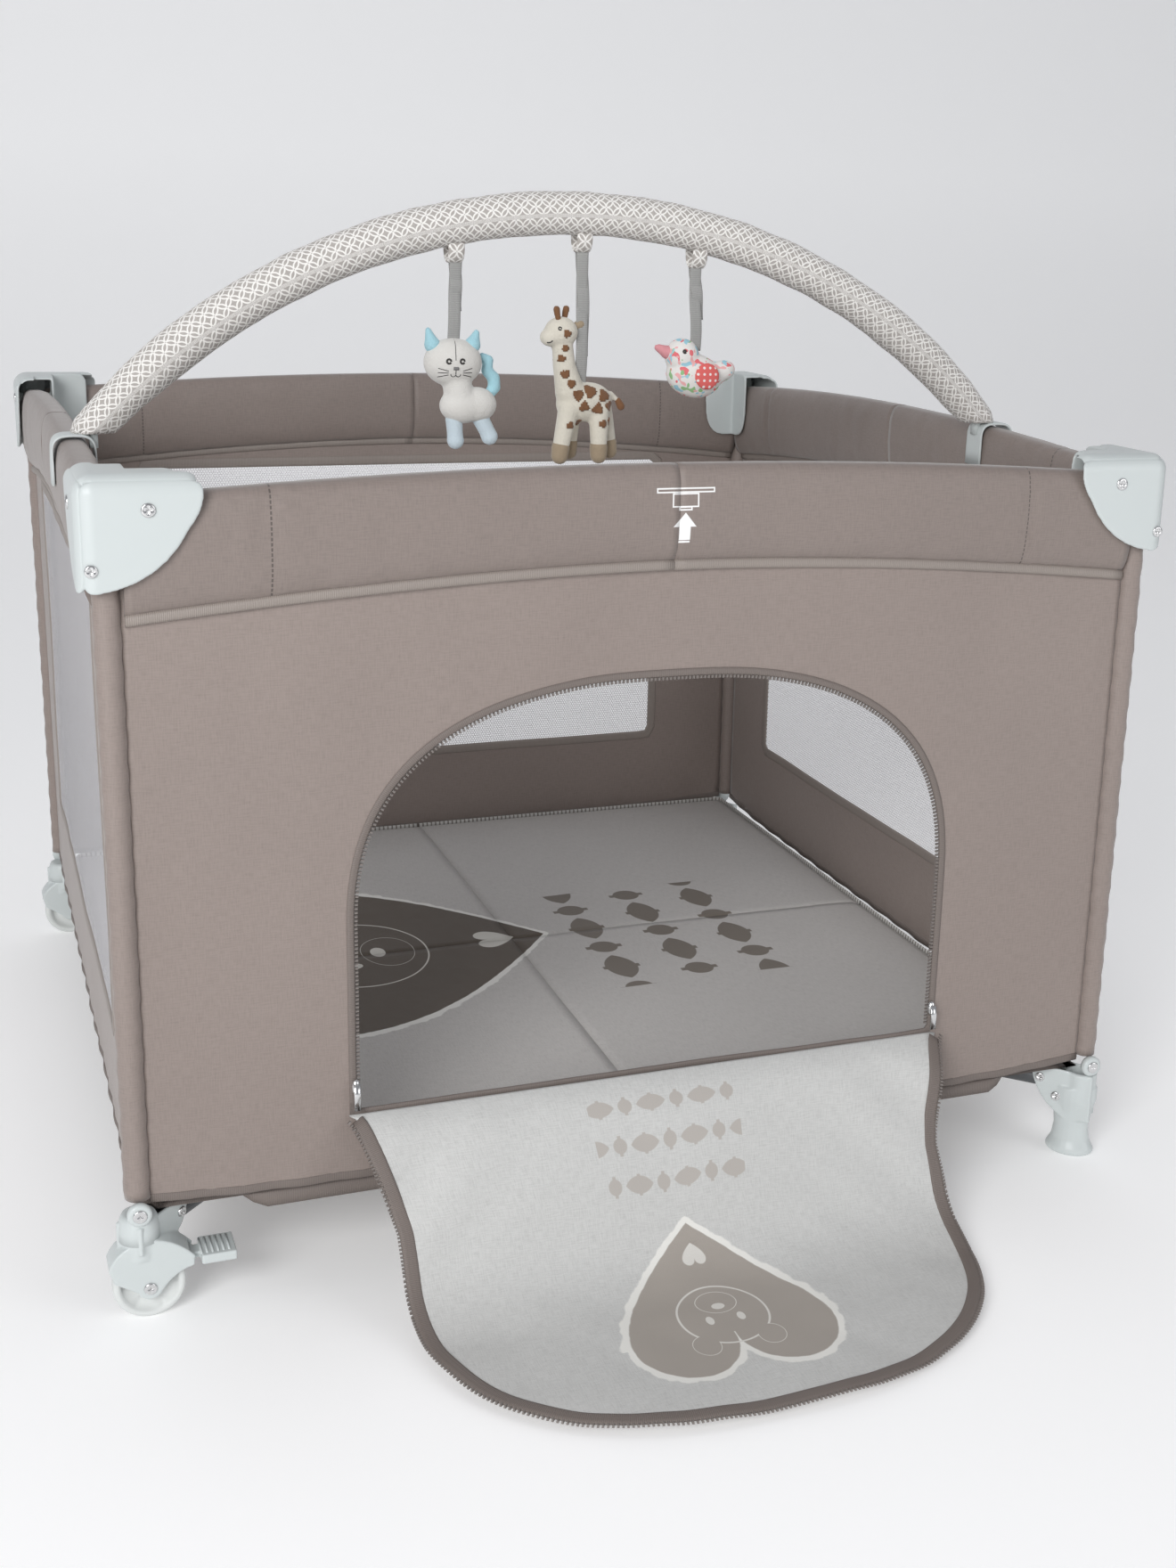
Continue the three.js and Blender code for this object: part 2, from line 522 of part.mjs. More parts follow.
/** Hanging toys: where each hangs, its strap's end and its body, in heights below the bow's apex. */
const TOYS = {
  toy_cat: [-121, 120, (x) => egg(30, 17, 27, [x, 0, -138]).add(egg(27, 18, 27, [x + 6, 0, -181]))
    .add(egg(9, 8, 15, [x - 8, 0, -204])).add(egg(9, 8, 15, [x + 20, 0, -204]))],
  toy_giraffe: [6, 100, (x) => egg(17, 15, 18, [x - 4, 0, -107]).add(rod("z", 9, -165, -110, [x, 0, 0], 12))
    .add(egg(24, 17, 26, [x + 8, 0, -171])).add(egg(9, 8, 30, [x - 14, 0, -205]))
    .add(egg(9, 8, 28, [x + 22, 0, -203]))],
  toy_bird: [126, 123, (x) => egg(32, 20, 26, [x, 0, -145]).add(egg(13, 11, 12, [x - 26, 0, -130]))],
};
for (const [name, [x, drop, make]] of Object.entries(TOYS)) {
  const toy = strap(x, BOW_APEX - drop).add(make(x).translate([0, 0, BOW_APEX]));
  add(name, toy.translate([0, BOW_Y, 0]), PLUSH);
}

// ---- Origin: bottom centre of the whole -----------------------------------------------------
playpen.updateMatrixWorld(true);
const bounds = new THREE.Box3().setFromObject(playpen, true);
const centre = bounds.getCenter(new THREE.Vector3());
playpen.position.set(-centre.x, -centre.y, -bounds.min.z);

export default group;
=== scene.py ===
"""Looks of a square folding playpen: padded rails, net walls, a zipped door, a mat and a toy bow."""
import logging
import math
from collections.abc import Callable, Sequence
from dataclasses import dataclass, field
from enum import Enum
from typing import Any

import bmesh
import bpy
from mathutils import Matrix, Vector, noise
from mathutils.bvhtree import BVHTree


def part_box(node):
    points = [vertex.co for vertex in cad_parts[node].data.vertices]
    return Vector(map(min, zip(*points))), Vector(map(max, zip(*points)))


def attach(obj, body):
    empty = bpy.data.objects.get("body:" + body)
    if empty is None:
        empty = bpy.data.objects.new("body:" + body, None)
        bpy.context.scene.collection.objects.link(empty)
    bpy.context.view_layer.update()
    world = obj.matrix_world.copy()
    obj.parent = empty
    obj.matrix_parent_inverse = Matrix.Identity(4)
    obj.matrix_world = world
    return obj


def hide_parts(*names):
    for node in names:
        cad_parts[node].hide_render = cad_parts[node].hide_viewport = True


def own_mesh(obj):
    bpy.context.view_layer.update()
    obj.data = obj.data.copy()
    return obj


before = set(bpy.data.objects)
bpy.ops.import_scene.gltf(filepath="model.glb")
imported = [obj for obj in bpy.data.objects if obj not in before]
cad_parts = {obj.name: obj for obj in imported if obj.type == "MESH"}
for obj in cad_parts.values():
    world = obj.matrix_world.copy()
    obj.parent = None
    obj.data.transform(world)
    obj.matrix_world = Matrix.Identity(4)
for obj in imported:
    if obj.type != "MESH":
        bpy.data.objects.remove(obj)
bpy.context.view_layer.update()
LOG = logging.getLogger("playpen")
UP = Vector((0, 0, 1))
CORNERS = ("front_left", "front_right", "back_right", "back_left")
PLACES = tuple(zip(CORNERS, (-1, 1, 1, -1), (-1, -1, 1, 1)))
SIDES = ("front", "right", "back", "left")
ENDS = {"front": ("left", "right"), "right": ("front", "back"), "back": ("right", "left"), "left": ("back", "front")}
Colour = tuple[float, float, float]
Rule = Callable[["Tree", "Surface"], None]


# ---- Shader expressions ----------------------------------------------------------------------
class Value:
    """A number socket that Python operators work on."""

    def __init__(self, tree: "Tree", socket: bpy.types.NodeSocket) -> None:
        """Wraps a socket of a tree."""
        self.tree = tree
        self.socket = socket

    def math(self, operation: str, *others: "Value | float") -> "Value":
        """One Math node with this value first.

        Args:
            operation: the Math node's operation.
            others: further terms.

        Returns:
            The node's result.
        """
        terms = {i: term for i, term in enumerate((self, *others))}
        return self.tree.node("ShaderNodeMath", {"operation": operation}, terms)[0]

    def __add__(self, other: "Value | float") -> "Value":
        """Sum."""
        return self.math("ADD", other)

    def __radd__(self, other: float) -> "Value":
        """Sum, reflected."""
        return self.math("ADD", other)

    def __sub__(self, other: "Value | float") -> "Value":
        """Difference."""
        return self.math("SUBTRACT", other)

    def __rsub__(self, other: float) -> "Value":
        """Difference, reflected."""
        return (self * -1.0) + other

    def __mul__(self, other: "Value | float") -> "Value":
        """Product."""
        return self.math("MULTIPLY", other)

    def __rmul__(self, other: float) -> "Value":
        """Product, reflected."""
        return self.math("MULTIPLY", other)

    def __truediv__(self, other: "Value | float") -> "Value":
        """Quotient."""
        return self.math("DIVIDE", other)

    def __lt__(self, other: "Value | float") -> "Value":
        """1 where less."""
        return self.math("LESS_THAN", other)

    def __gt__(self, other: "Value | float") -> "Value":
        """1 where greater."""
        return self.math("GREATER_THAN", other)

    def __abs__(self) -> "Value":
        """Size without sign."""
        return self.math("ABSOLUTE")

    def low(self, other: "Value | float") -> "Value":
        """The smaller of two."""
        return self.math("MINIMUM", other)

    def high(self, other: "Value | float") -> "Value":
        """The larger of two."""
        return self.math("MAXIMUM", other)

    def step(self, edge: float, soft: float) -> "Value":
        """Smooth rise from 0 to 1 over a width about an edge.

        Args:
            edge: where the rise is half way.
            soft: half its width.

        Returns:
            The rise.
        """
        ramp = {"Value": self, "From Min": edge - soft, "From Max": edge + soft}
        return self.tree.node("ShaderNodeMapRange", {"interpolation_type": "SMOOTHSTEP"}, ramp)[0]

    def below(self, edge: float, soft: float) -> "Value":
        """1 below an edge, 0 above it, smooth between."""
        return 1 - self.step(edge, soft)

    def repeat(self, pitch: float) -> "Value":
        """Distance from the middle of each repeat."""
        return ((self / pitch).math("FRACT") - 0.5) * pitch


class Tree:
    """Node tree of one material."""

    def __init__(self, name: str) -> None:
        """Starts an empty material."""
        self.material = bpy.data.materials.new(name)
        self.material.use_nodes = True
        self.nodes = self.material.node_tree.nodes
        self.links = self.material.node_tree.links
        self.nodes.clear()

    def node(self, kind: str, settings: dict[str, Any], values: dict[Any, Any]) -> list[Value]:
        """Adds one node.

        Args:
            kind: Blender's type name of the node.
            settings: properties, set first.
            values: a number, colour, socket or Value for each input, by name or place.

        Returns:
            The node's outputs.
        """
        node = self.nodes.new(kind)
        for name, setting in settings.items():
            setattr(node, name, setting)
        for key, value in values.items():
            if isinstance(value, Value):
                self.links.new(value.socket, node.inputs[key])
            else:
                node.inputs[key].default_value = value
        return [Value(self, out) for out in node.outputs]

    def mix(self, share: Value, a: Any, b: Any) -> Value:
        """Colour a where share is 0 and b where it is 1."""
        colours = {6: rgba(a), 7: rgba(b)}
        return self.node("ShaderNodeMix", {"data_type": "RGBA"}, {0: share, **colours})[2]

    def split(self, vector: Value) -> list[Value]:
        """X, Y and Z of a vector."""
        return self.node("ShaderNodeSeparateXYZ", {}, {0: vector})

    def join(self, *parts: "Value | float") -> Value:
        """Vector of up to three numbers."""
        return self.node("ShaderNodeCombineXYZ", {}, dict(enumerate(parts)))[0]

    def place(self) -> Value:
        """Place on the object, in metres."""
        return self.node("ShaderNodeTexCoord", {}, {})[3]

    def cloth(self) -> list[Value]:
        """Place on the flat cloth: along, across and side, in metres."""
        vector = self.node("ShaderNodeAttribute", {"attribute_name": "cloth"}, {})[1]
        return self.split(vector)

    def noise(self, vector: Value, scale: float, detail: float = 2.0) -> Value:
        """Smooth random value from 0 to 1."""
        return self.node("ShaderNodeTexNoise", {}, {"Vector": vector, "Scale": scale, "Detail": detail})[0]


def rgba(colour: Any) -> Any:
    """A colour with its alpha, or a socket as it is."""
    return colour if isinstance(colour, Value) else (*colour, 1.0)


@dataclass
class Surface:
    """What a finish works on before it is written to the shader."""

    colour: Any
    roughness: Any
    root: Colour
    height: Any = None
    alpha: Any = None
    bump: float = 0.0004


@dataclass(frozen=True)
class Finish:
    """A finish with one ground colour.

    Attributes are its look: colours are linear, grain is a rule that adds to the surface, and prints
    are further rules in order.
    """

    name: str
    colour: Colour
    shade: Colour
    roughness: float
    grain: Rule
    prints: tuple[Rule, ...] = ()
    metallic: float = 0.0
    sheen: float = 0.0
    coat: float = 0.0
    specular: float = 0.5
    glow: float = 0.0

    def material(self) -> bpy.types.Material:
        """Builds the material once.

        Returns:
            The material of this finish.
        """
        if self.name in bpy.data.materials:
            return bpy.data.materials[self.name]
        tree = Tree(self.name)
        broad = tree.noise(tree.place(), 7.0, 3.0)
        surface = Surface(tree.mix(broad, self.colour, self.shade), self.roughness, self.shade)
        for rule in (self.grain, *self.prints):
            rule(tree, surface)
        values = {"Base Color": surface.colour, "Roughness": surface.roughness, "Metallic": self.metallic,
                  "Sheen Weight": self.sheen, "Coat Weight": self.coat, "Specular IOR Level": self.specular}
        if self.sheen:
            values["Sheen Roughness"] = 0.4
        if self.glow:
            values |= {"Emission Color": rgba(self.colour), "Emission Strength": self.glow}
        if surface.alpha is not None:
            values["Alpha"] = surface.alpha
        if surface.height is not None:
            settings = {"Height": surface.height, "Distance": surface.bump, "Strength": 0.6}
            values["Normal"] = tree.node("ShaderNodeBump", {}, settings)[0]
        shader = tree.node("ShaderNodeBsdfPrincipled", {}, values)[0]
        tree.node("ShaderNodeOutputMaterial", {}, {0: shader})
        return tree.material


# ---- Grains ----------------------------------------------------------------------------------
WEAVE_PITCH = 0.0009


def woven(tree: Tree, surface: Surface) -> None:
    """Plain weave with faint slubs along and across."""
    along, across, _ = tree.cloth()
    turn = 2 * math.pi / WEAVE_PITCH
    weave = (along * turn).math("SINE") * (across * turn).math("SINE")
    slub = tree.noise(tree.join(along * 90, across * 900, 0.0), 1.0) + tree.noise(
        tree.join(along * 900, across * 90, 5.0), 1.0)
    surface.height = weave * 0.25 + slub * 0.7
    surface.colour = tree.mix((slub - 0.85) * 0.35, surface.colour, (0.03, 0.025, 0.022))
    surface.roughness = tree.noise(tree.place(), 60.0) * 0.12 + (surface.roughness - 0.06)
    surface.bump = 0.0002


def ribbed(tree: Tree, surface: Surface) -> None:
    """Narrow tape with ribs across it."""
    along, across, _ = tree.cloth()
    rib = (along * (2 * math.pi / 0.0016)).math("SINE")
    edge = (across * (2 * math.pi / 0.004)).math("SINE")
    surface.height = rib * 0.5 + edge * 0.2
    surface.colour = tree.mix(rib * 0.12 + 0.12, surface.colour, (0.02, 0.018, 0.016))
    surface.bump = 0.0003


def moulded(tree: Tree, surface: Surface) -> None:
    """Satin moulding with a fine spark texture and faint flow marks."""
    fine = tree.noise(tree.place(), 1500.0, 1.0)
    flow = tree.noise(tree.place(), 28.0, 3.0)
    surface.height = fine * 0.5 + flow * 0.4
    surface.roughness = flow * 0.16 + (surface.roughness - 0.08)
    surface.bump = 0.00008


def drawn(tree: Tree, surface: Surface) -> None:
    """Metal with fine scratches and small stains."""
    x, y, z = tree.split(tree.place())
    scratch = tree.noise(tree.join(x * 40, y * 40, z * 900), 1.0, 3.0)
    surface.roughness = scratch * 0.2 + (surface.roughness - 0.1)
    surface.height = scratch
    surface.bump = 0.00005


def plush(tree: Tree, surface: Surface) -> None:
    """Short pile in small tufts."""
    tuft = tree.noise(tree.place(), 900.0, 3.0)
    clump = tree.noise(tree.place(), 160.0, 2.0)
    surface.height = tuft + clump * 0.8
    surface.colour = tree.mix((clump - 0.35) * 0.5, surface.colour, surface.root)
    surface.bump = 0.0012


def rings(tree: Tree, surface: Surface) -> None:
    """Print of interlaced rings on a square grid, with a small lozenge in each gap."""
    pitch = 0.0098
    run, turn, _ = tree.cloth()
    along, across = (run + turn) * math.sqrt(0.5), (run - turn) * math.sqrt(0.5)
    x, y = along.repeat(pitch), across.repeat(pitch)
    line = None
    for cx in (-0.5, 0.5):
        for cy in (-0.5, 0.5):
            dx, dy = x - cx * pitch, y - cy * pitch
            ring = abs((dx * dx + dy * dy).math("SQRT") - pitch * math.sqrt(0.5))
            line = ring if line is None else line.low(ring)
    star = abs(x).math("SQRT") + abs(y).math("SQRT")
    pale = line.below(0.00072, 0.0003) * (1.0 - star.below(0.034, 0.004))
    surface.colour = tree.mix(pale, surface.colour, (0.86, 0.84, 0.81))


def heart(tree: Tree, x: Value, y: Value, size: float) -> Value:
    """Signed measure of a heart whose tip points along -Y: negative inside, about in metres.

    Args:
        tree: tree to build in.
        x: across, from the heart's axis.
        y: along, from its middle.
        size: half its width.

    Returns:
        The measure.
    """
    u, v = abs(x) / size, y / size
    lobe = ((u - 0.5) * (u - 0.5) + (v - 0.35) * (v - 0.35)).math("SQRT") - 0.5
    side = (u - 1.0 + ((0.35 - v).high(0.0) / 1.25).math("POWER", 1.75)) * 0.72
    share = v.step(0.35, 0.0002)
    return (lobe * share + side * (1.0 - share)) * size


def leaf(x: Value, y: Value, length: float, width: float) -> Value:
    """Signed measure of a pointed leaf along X."""
    arc = (length * length - width * width) / (2 * width)
    radius = arc + width
    return (x * x + (abs(y) + arc) * (abs(y) + arc)).math("SQRT") - radius


def leaf_rows(tree: Tree, x: Value, y: Value, rows: int, pitch: float, reach: float) -> Value:
    """Rows of small leaves, dots and bars about a middle point.

    Args:
        tree: tree to build in.
        x: along the rows.
        y: across them.
        rows: how many.
        pitch: from row to row.
        reach: half a row's length.

    Returns:
        1 on the ink.
    """
    step, unit = pitch * 0.74, pitch * 0.22
    inside = (abs(x) < reach) * (abs(y) < rows * pitch / 2)
    row = (y / pitch).math("FLOOR") if rows % 2 == 0 else (y / pitch + 0.5).math("FLOOR")
    local_y = y - row * pitch - (0 if rows % 2 else pitch / 2)
    shifted = x + row * (step / 2)
    leaves = leaf(shifted.repeat(step * 2), local_y, unit * 1.9, unit).below(0.0, 0.0006)
    dots = (((shifted + step).repeat(step * 2) * 1.0).math("POWER", 2.0)
            + local_y * local_y).math("SQRT").below(unit * 0.9, 0.0006)
    bars = abs(local_y).below(unit * 1.2,
                              0.0005) * abs((shifted + step / 2).repeat(step)).below(unit * 0.22, 0.0005)
    return (leaves + dots + bars).low(1.0) * inside


def face(tree: Tree, x: Value, y: Value, size: float) -> tuple[Value, Value]:
    """Outline face of a plain round-eared animal looking along +Y of the print.

    Args:
        tree: tree to build in.
        x: across the face.
        y: up the face.
        size: radius of the head.

    Returns:
        Thin lines, and filled spots.
    """
    def disc(cx: float, cy: float, rx: float, ry: float) -> Value:
        """Distance to an oval of the face."""
        dx, dy = (x - cx * size) / rx, (y - cy * size) / ry
        return (dx * dx + dy * dy).math("SQRT") - size

    head = disc(0, 0, 1.0, 0.86)
    ears = disc(-0.74, 0.80, 0.30, 0.30).low(disc(0.74, 0.80, 0.30, 0.30))
    outline = abs(head.low(ears)).below(0.0011, 0.0004)
    muzzle = abs(disc(0, -0.38, 0.46, 0.32)).below(0.0009, 0.0004)
    spots = disc(-0.36, 0.12, 0.09, 0.12).low(disc(0.36, 0.12, 0.09, 0.12)).low(disc(0, -0.26, 0.15, 0.09))
    return outline.high(muzzle), spots.below(0.0, 0.0005)


@dataclass(frozen=True)
class HeartPrint:
    """Heart with a rough pale border, a face and rows of leaves, on flat cloth."""

    centre: tuple[float, float]
    turn: float
    size: float
    ink: Colour
    line: Colour
    rows_at: tuple[float, float]
    rows: tuple[int, float, float]
    rows_ink: Colour
    face_at: float

    def __call__(self, tree: Tree, surface: Surface) -> None:
        """Adds the print to the surface."""
        a, b, _ = tree.cloth()
        rough = tree.noise(tree.join(a, b, 0.0), 55.0, 4.0) - 0.5
        c, s = math.cos(self.turn), math.sin(self.turn)
        da, db = a - self.centre[0], b - self.centre[1]
        x, y = da * c + db * s, db * c - da * s
        measure = heart(tree, x, y, self.size)
        border = (measure + rough * 0.012).below(0.007, 0.0012)
        colour = tree.mix(border, surface.colour, (0.78, 0.77, 0.73))
        colour = tree.mix((measure + rough * 0.003).below(0.0, 0.0008), colour, self.ink)
        lines, spots = face(tree, x, y - self.face_at, self.size * 0.44)
        small = heart(tree, x, y + self.size * 0.62, self.size * 0.12).below(0.0, 0.0006)
        colour = tree.mix(lines.high(spots).high(small), colour, self.line)
        u, v = (a - self.rows_at[0]), (b - self.rows_at[1])
        p, q = u * c + v * s, v * c - u * s
        surface.colour = tree.mix(leaf_rows(tree, p, q, *self.rows), colour, self.rows_ink)


@dataclass(frozen=True)
class Stitches:
    """Rows of stitches on flat cloth: each row is (True if it runs along, its place)."""

    rows: tuple[tuple[bool, float], ...]
    length: float = 0.0042
    tone: Colour = (0.055, 0.045, 0.04)

    def __call__(self, tree: Tree, surface: Surface) -> None:
        """Adds the stitches to the surface."""
        a, b, _ = tree.cloth()
        mask = None
        for runs_along, at in self.rows:
            run, off = (a, b - at) if runs_along else (b, a - at)
            dash = abs(run.repeat(self.length)).below(self.length * 0.34, 0.0002)
            row = dash * abs(off).below(0.0007, 0.0002)
            mask = row if mask is None else mask.high(row)
        surface.colour = tree.mix(mask * 0.75, surface.colour, self.tone)
        if surface.height is not None:
            surface.height = surface.height - mask * 1.5


def press_here(tree: Tree, surface: Surface) -> None:
    """White drawing of a lock bar with an arrow under it, on the front band."""
    a, b, side = tree.cloth()
    x, y = a - 0.005, b - 0.0

    def block(cx: float, cy: float, w: float, h: float) -> Value:
        """Distance to a block of the sign."""
        return (abs(x - cx) - w).high(abs(y - cy) - h)

    bar = block(0, 0.709, 0.026, 0.0016)
    house = block(0, 0.7005, 0.0115, 0.0055)
    lip = block(0, 0.6935, 0.0055, 0.0012)
    lines = abs(bar.low(house).low(lip)).below(0.0006, 0.0003)
    shaft = block(0, 0.672, 0.0052, 0.0085)
    head = ((abs(x) + (y - 0.6775) * 0.85) - 0.0105).high(0.6775 - y)
    foot = abs(y - 0.6655) < 0.0004
    arrow = shaft.low(head).below(0.0, 0.0004) * (1 - foot)
    ink = lines.high(arrow) * (side > 0.0)
    surface.colour = tree.mix(ink, surface.colour, (0.86, 0.86, 0.85))


def zigzag(tree: Tree, surface: Surface) -> None:
    """Pale overlock thread that crosses an edge in a zigzag."""
    a, b, _ = tree.cloth()
    saw = abs(a.repeat(0.006)) * 2.2
    line = abs(abs(b) - saw).below(0.0012, 0.0005)
    surface.colour = tree.mix(line, surface.colour, (0.20, 0.18, 0.16))
    surface.height = line
    surface.bump = 0.0008


def netting(tree: Tree, surface: Surface) -> None:
    """Round holes on a honeycomb grid."""
    a, b, _ = tree.cloth()
    pitch = 0.0034
    tall = pitch * math.sqrt(3)
    gaps = []
    for shift in (0.0, 0.5):
        dx, dy = (a + shift * pitch).repeat(pitch), (b + shift * tall).repeat(tall)
        gaps.append((dx * dx + dy * dy).math("SQRT"))
    hole = gaps[0].low(gaps[1])
    surface.alpha = hole.step(pitch * 0.37, pitch * 0.05)
    surface.height = hole.step(pitch * 0.5, pitch * 0.1)
    surface.bump = 0.0004


def dotted(tree: Tree, surface: Surface) -> None:
    """Small pale dots on cotton."""
    x, _, z = tree.split(tree.place())
    pitch = 0.0062
    first = (x.repeat(pitch) * x.repeat(pitch) + z.repeat(pitch) * z.repeat(pitch)).math("SQRT")
    surface.colour = tree.mix(first.below(0.0013, 0.0003), surface.colour, (0.9, 0.82, 0.8))
    surface.height = tree.noise(tree.place(), 1200.0)
    surface.bump = 0.0002


def floral(tree: Tree, surface: Surface) -> None:
    """Scattered coral, green and blue flecks on white cotton."""
    flecks = ((5.0, (0.80, 0.18, 0.20)), (9.0, (0.30, 0.52, 0.25)), (13.0, (0.35, 0.62, 0.72)), (21.0, (0.85, 0.45, 0.45)))
    for shift, ink in flecks:
        spot = tree.noise(tree.node("ShaderNodeVectorMath", {"operation": "ADD"},
                                    {0: tree.place(), 1: (shift, shift, shift)})[0], 150.0, 0.0)
        surface.colour = tree.mix(spot.step(0.695, 0.012), surface.colour, ink)
    surface.height = tree.noise(tree.place(), 1200.0)
    surface.bump = 0.0002


TAUPE: Colour = (0.292, 0.240, 0.215)
TAUPE_SHADE: Colour = (0.262, 0.215, 0.193)
WALL_CLOTH = Finish("taupe satin cloth", TAUPE, TAUPE_SHADE, 0.52, woven, sheen=0.25)
BAND_TAUPE, BAND_SHADE = (tuple(0.87 * part for part in tone) for tone in (TAUPE, TAUPE_SHADE))
BAND_STITCH = Stitches(((False, -0.347), (False, 0.347)))
BAND_CLOTH = Finish("taupe band cloth", BAND_TAUPE, BAND_SHADE, 0.50, woven, (BAND_STITCH,), sheen=0.25)
SIGN_CLOTH = Finish("taupe band cloth with sign", BAND_TAUPE, BAND_SHADE, 0.50, woven, (BAND_STITCH, press_here), sheen=0.25)
TAPE = Finish("taupe binding tape", (0.205, 0.170, 0.152), (0.18, 0.15, 0.135), 0.6, ribbed)
PIPING = Finish("taupe piping", (0.33, 0.285, 0.255), (0.29, 0.25, 0.225), 0.5, ribbed)
ZIP = Finish("zip coil", (0.20, 0.175, 0.16), (0.17, 0.15, 0.14), 0.4, moulded)
STRAP = Finish("grey strap", (0.40, 0.40, 0.39), (0.36, 0.36, 0.35), 0.7, ribbed)
NET = Finish("pale net", (0.93, 0.92, 0.94), (0.86, 0.85, 0.88), 0.7, netting)
MAT_PRINT = HeartPrint((-0.153, 0.006), math.pi / 2, 0.215, (0.090, 0.070, 0.052), (0.62, 0.60, 0.55),
                       (0.178, -0.025), (3, 0.083, 0.150), (0.17, 0.145, 0.12), 0.03)
FLAP_PRINT = HeartPrint((-0.003, 0.247), 0.0, 0.106, (0.36, 0.325, 0.29), (0.66, 0.64, 0.60),
                        (-0.006, 0.075), (3, 0.036, 0.078), (0.44, 0.41, 0.38), 0.012)
MAT_CLOTH = Finish("light grey mat cloth", (0.56, 0.54, 0.52), (0.51, 0.49, 0.47), 0.62, woven,
                   (MAT_PRINT,), sheen=0.1)
MAT_EDGE = Finish("mat edge thread", (0.62, 0.61, 0.58), (0.55, 0.54, 0.52), 0.8, ribbed, (zigzag,))
FLAP_CLOTH = Finish("white flap cloth", (0.60, 0.60, 0.585), (0.57, 0.57, 0.555), 0.60, woven,
                    (FLAP_PRINT,), sheen=0.1)
BOW_CLOTH = Finish("ring print cloth", (0.46, 0.43, 0.40), (0.42, 0.39, 0.365), 0.7, woven, (rings,),
                   sheen=0.1)
PLASTIC = Finish("pale mint plastic", (0.57, 0.61, 0.605), (0.55, 0.59, 0.585), 0.40, moulded, coat=0.08)
WHEEL_PLASTIC = Finish("white wheel plastic", (0.66, 0.68, 0.66), (0.62, 0.64, 0.63), 0.42, moulded)
STEEL = Finish("grey painted steel", (0.13, 0.135, 0.14), (0.11, 0.115, 0.12), 0.38, drawn, metallic=0.6)
CHROME = Finish("bright screw", (0.72, 0.72, 0.72), (0.66, 0.66, 0.66), 0.22, drawn, metallic=1.0)
WHITE_PLUSH = Finish("white plush", (0.86, 0.85, 0.82), (0.66, 0.64, 0.60), 0.95, plush, sheen=0.4)
CREAM_PLUSH = Finish("cream plush", (0.84, 0.80, 0.72), (0.64, 0.60, 0.50), 0.95, plush, sheen=0.4)
BLUE_FELT = Finish("pale blue felt", (0.45, 0.72, 0.80), (0.36, 0.62, 0.70), 0.95, plush, sheen=0.4)
PALE_FELT = Finish("ice blue felt", (0.66, 0.76, 0.82), (0.56, 0.66, 0.72), 0.95, plush, sheen=0.4)
BROWN_FELT = Finish("brown felt", (0.25, 0.12, 0.055), (0.18, 0.085, 0.04), 0.95, plush, sheen=0.3)
TAN_FELT = Finish("tan felt", (0.42, 0.33, 0.23), (0.32, 0.25, 0.17), 0.95, plush, sheen=0.3)
CORAL = Finish("coral cotton", (0.80, 0.16, 0.15), (0.70, 0.13, 0.12), 0.85, dotted)
FLORAL = Finish("floral cotton", (0.84, 0.82, 0.79), (0.80, 0.78, 0.75), 0.85, floral)
THREAD = Finish("black thread", (0.03, 0.03, 0.03), (0.05, 0.045, 0.04), 0.6, ribbed)
GREY_THREAD = Finish("grey thread", (0.25, 0.25, 0.25), (0.2, 0.2, 0.2), 0.6, ribbed)
PINK_FELT = Finish("pink felt", (0.80, 0.38, 0.40), (0.7, 0.3, 0.33), 0.95, plush)


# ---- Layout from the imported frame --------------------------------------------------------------
def middle(node: str) -> Vector:
    """Middle of a CAD node's box."""
    low, high = (Vector(corner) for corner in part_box(node))
    return (low + high) / 2


@dataclass(frozen=True)
class Layout:
    """Sizes read from the frame; design places are about the middle of the post square."""

    centre: Vector
    half: float
    post_r: float
    rail_z: float
    band_low: float
    band_high: float
    cap_high: float
    cap_low: float
    wall_low: float
    mat_high: float
    mat_low: float
    leg_z: float
    wheel_r: float

    @classmethod
    def read(cls) -> "Layout":
        """Reads the frame.

        Returns:
            The layout.
        """
        left, right = middle("post_front_left"), middle("post_back_right")
        low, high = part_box("post_front_left")
        centre = (left + right) / 2
        centre.z = 0.0
        return cls(centre, (right.x - left.x) / 2, (high[0] - low[0]) / 2, middle("rail_front_left").z,
                   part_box("band_front_left")[0][2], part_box("band_front_left")[1][2],
                   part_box("cap_front_left")[1][2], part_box("cap_front_left")[0][2],
                   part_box("wall_front")[0][2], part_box("mat_front_left")[1][2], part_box("mat_front_left")[0][2],
                   middle("leg_front_left").z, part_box("wheel_front")[1][2] / 2)


LAYOUT = Layout.read()
H = LAYOUT.half


# ---- Mesh tools --------------------------------------------------------------------------------
Point = Callable[[int, int], Vector]


def new_object(name: str, verts: Sequence[Vector], faces: Sequence[Sequence[int]],
               cloth: Sequence[Sequence[float]] = ()) -> bpy.types.Object:
    """Object from vertices and faces, in design places.

    Args:
        name: name of the piece.
        verts: vertices.
        faces: faces.
        cloth: flat cloth place of each vertex.

    Returns:
        The object, smooth shaded.
    """
    mesh = bpy.data.meshes.new(name)
    mesh.from_pydata([tuple(v) for v in verts], [], [tuple(f) for f in faces])
    if cloth:
        layer = mesh.attributes.new("cloth", "FLOAT_VECTOR", "POINT")
        layer.data.foreach_set("vector", [value for place in cloth for value in place])
    mesh.polygons.foreach_set("use_smooth", [True] * len(mesh.polygons))
    mesh.update()
    thing = bpy.data.objects.new(name, mesh)
    bpy.context.scene.collection.objects.link(thing)
    return thing


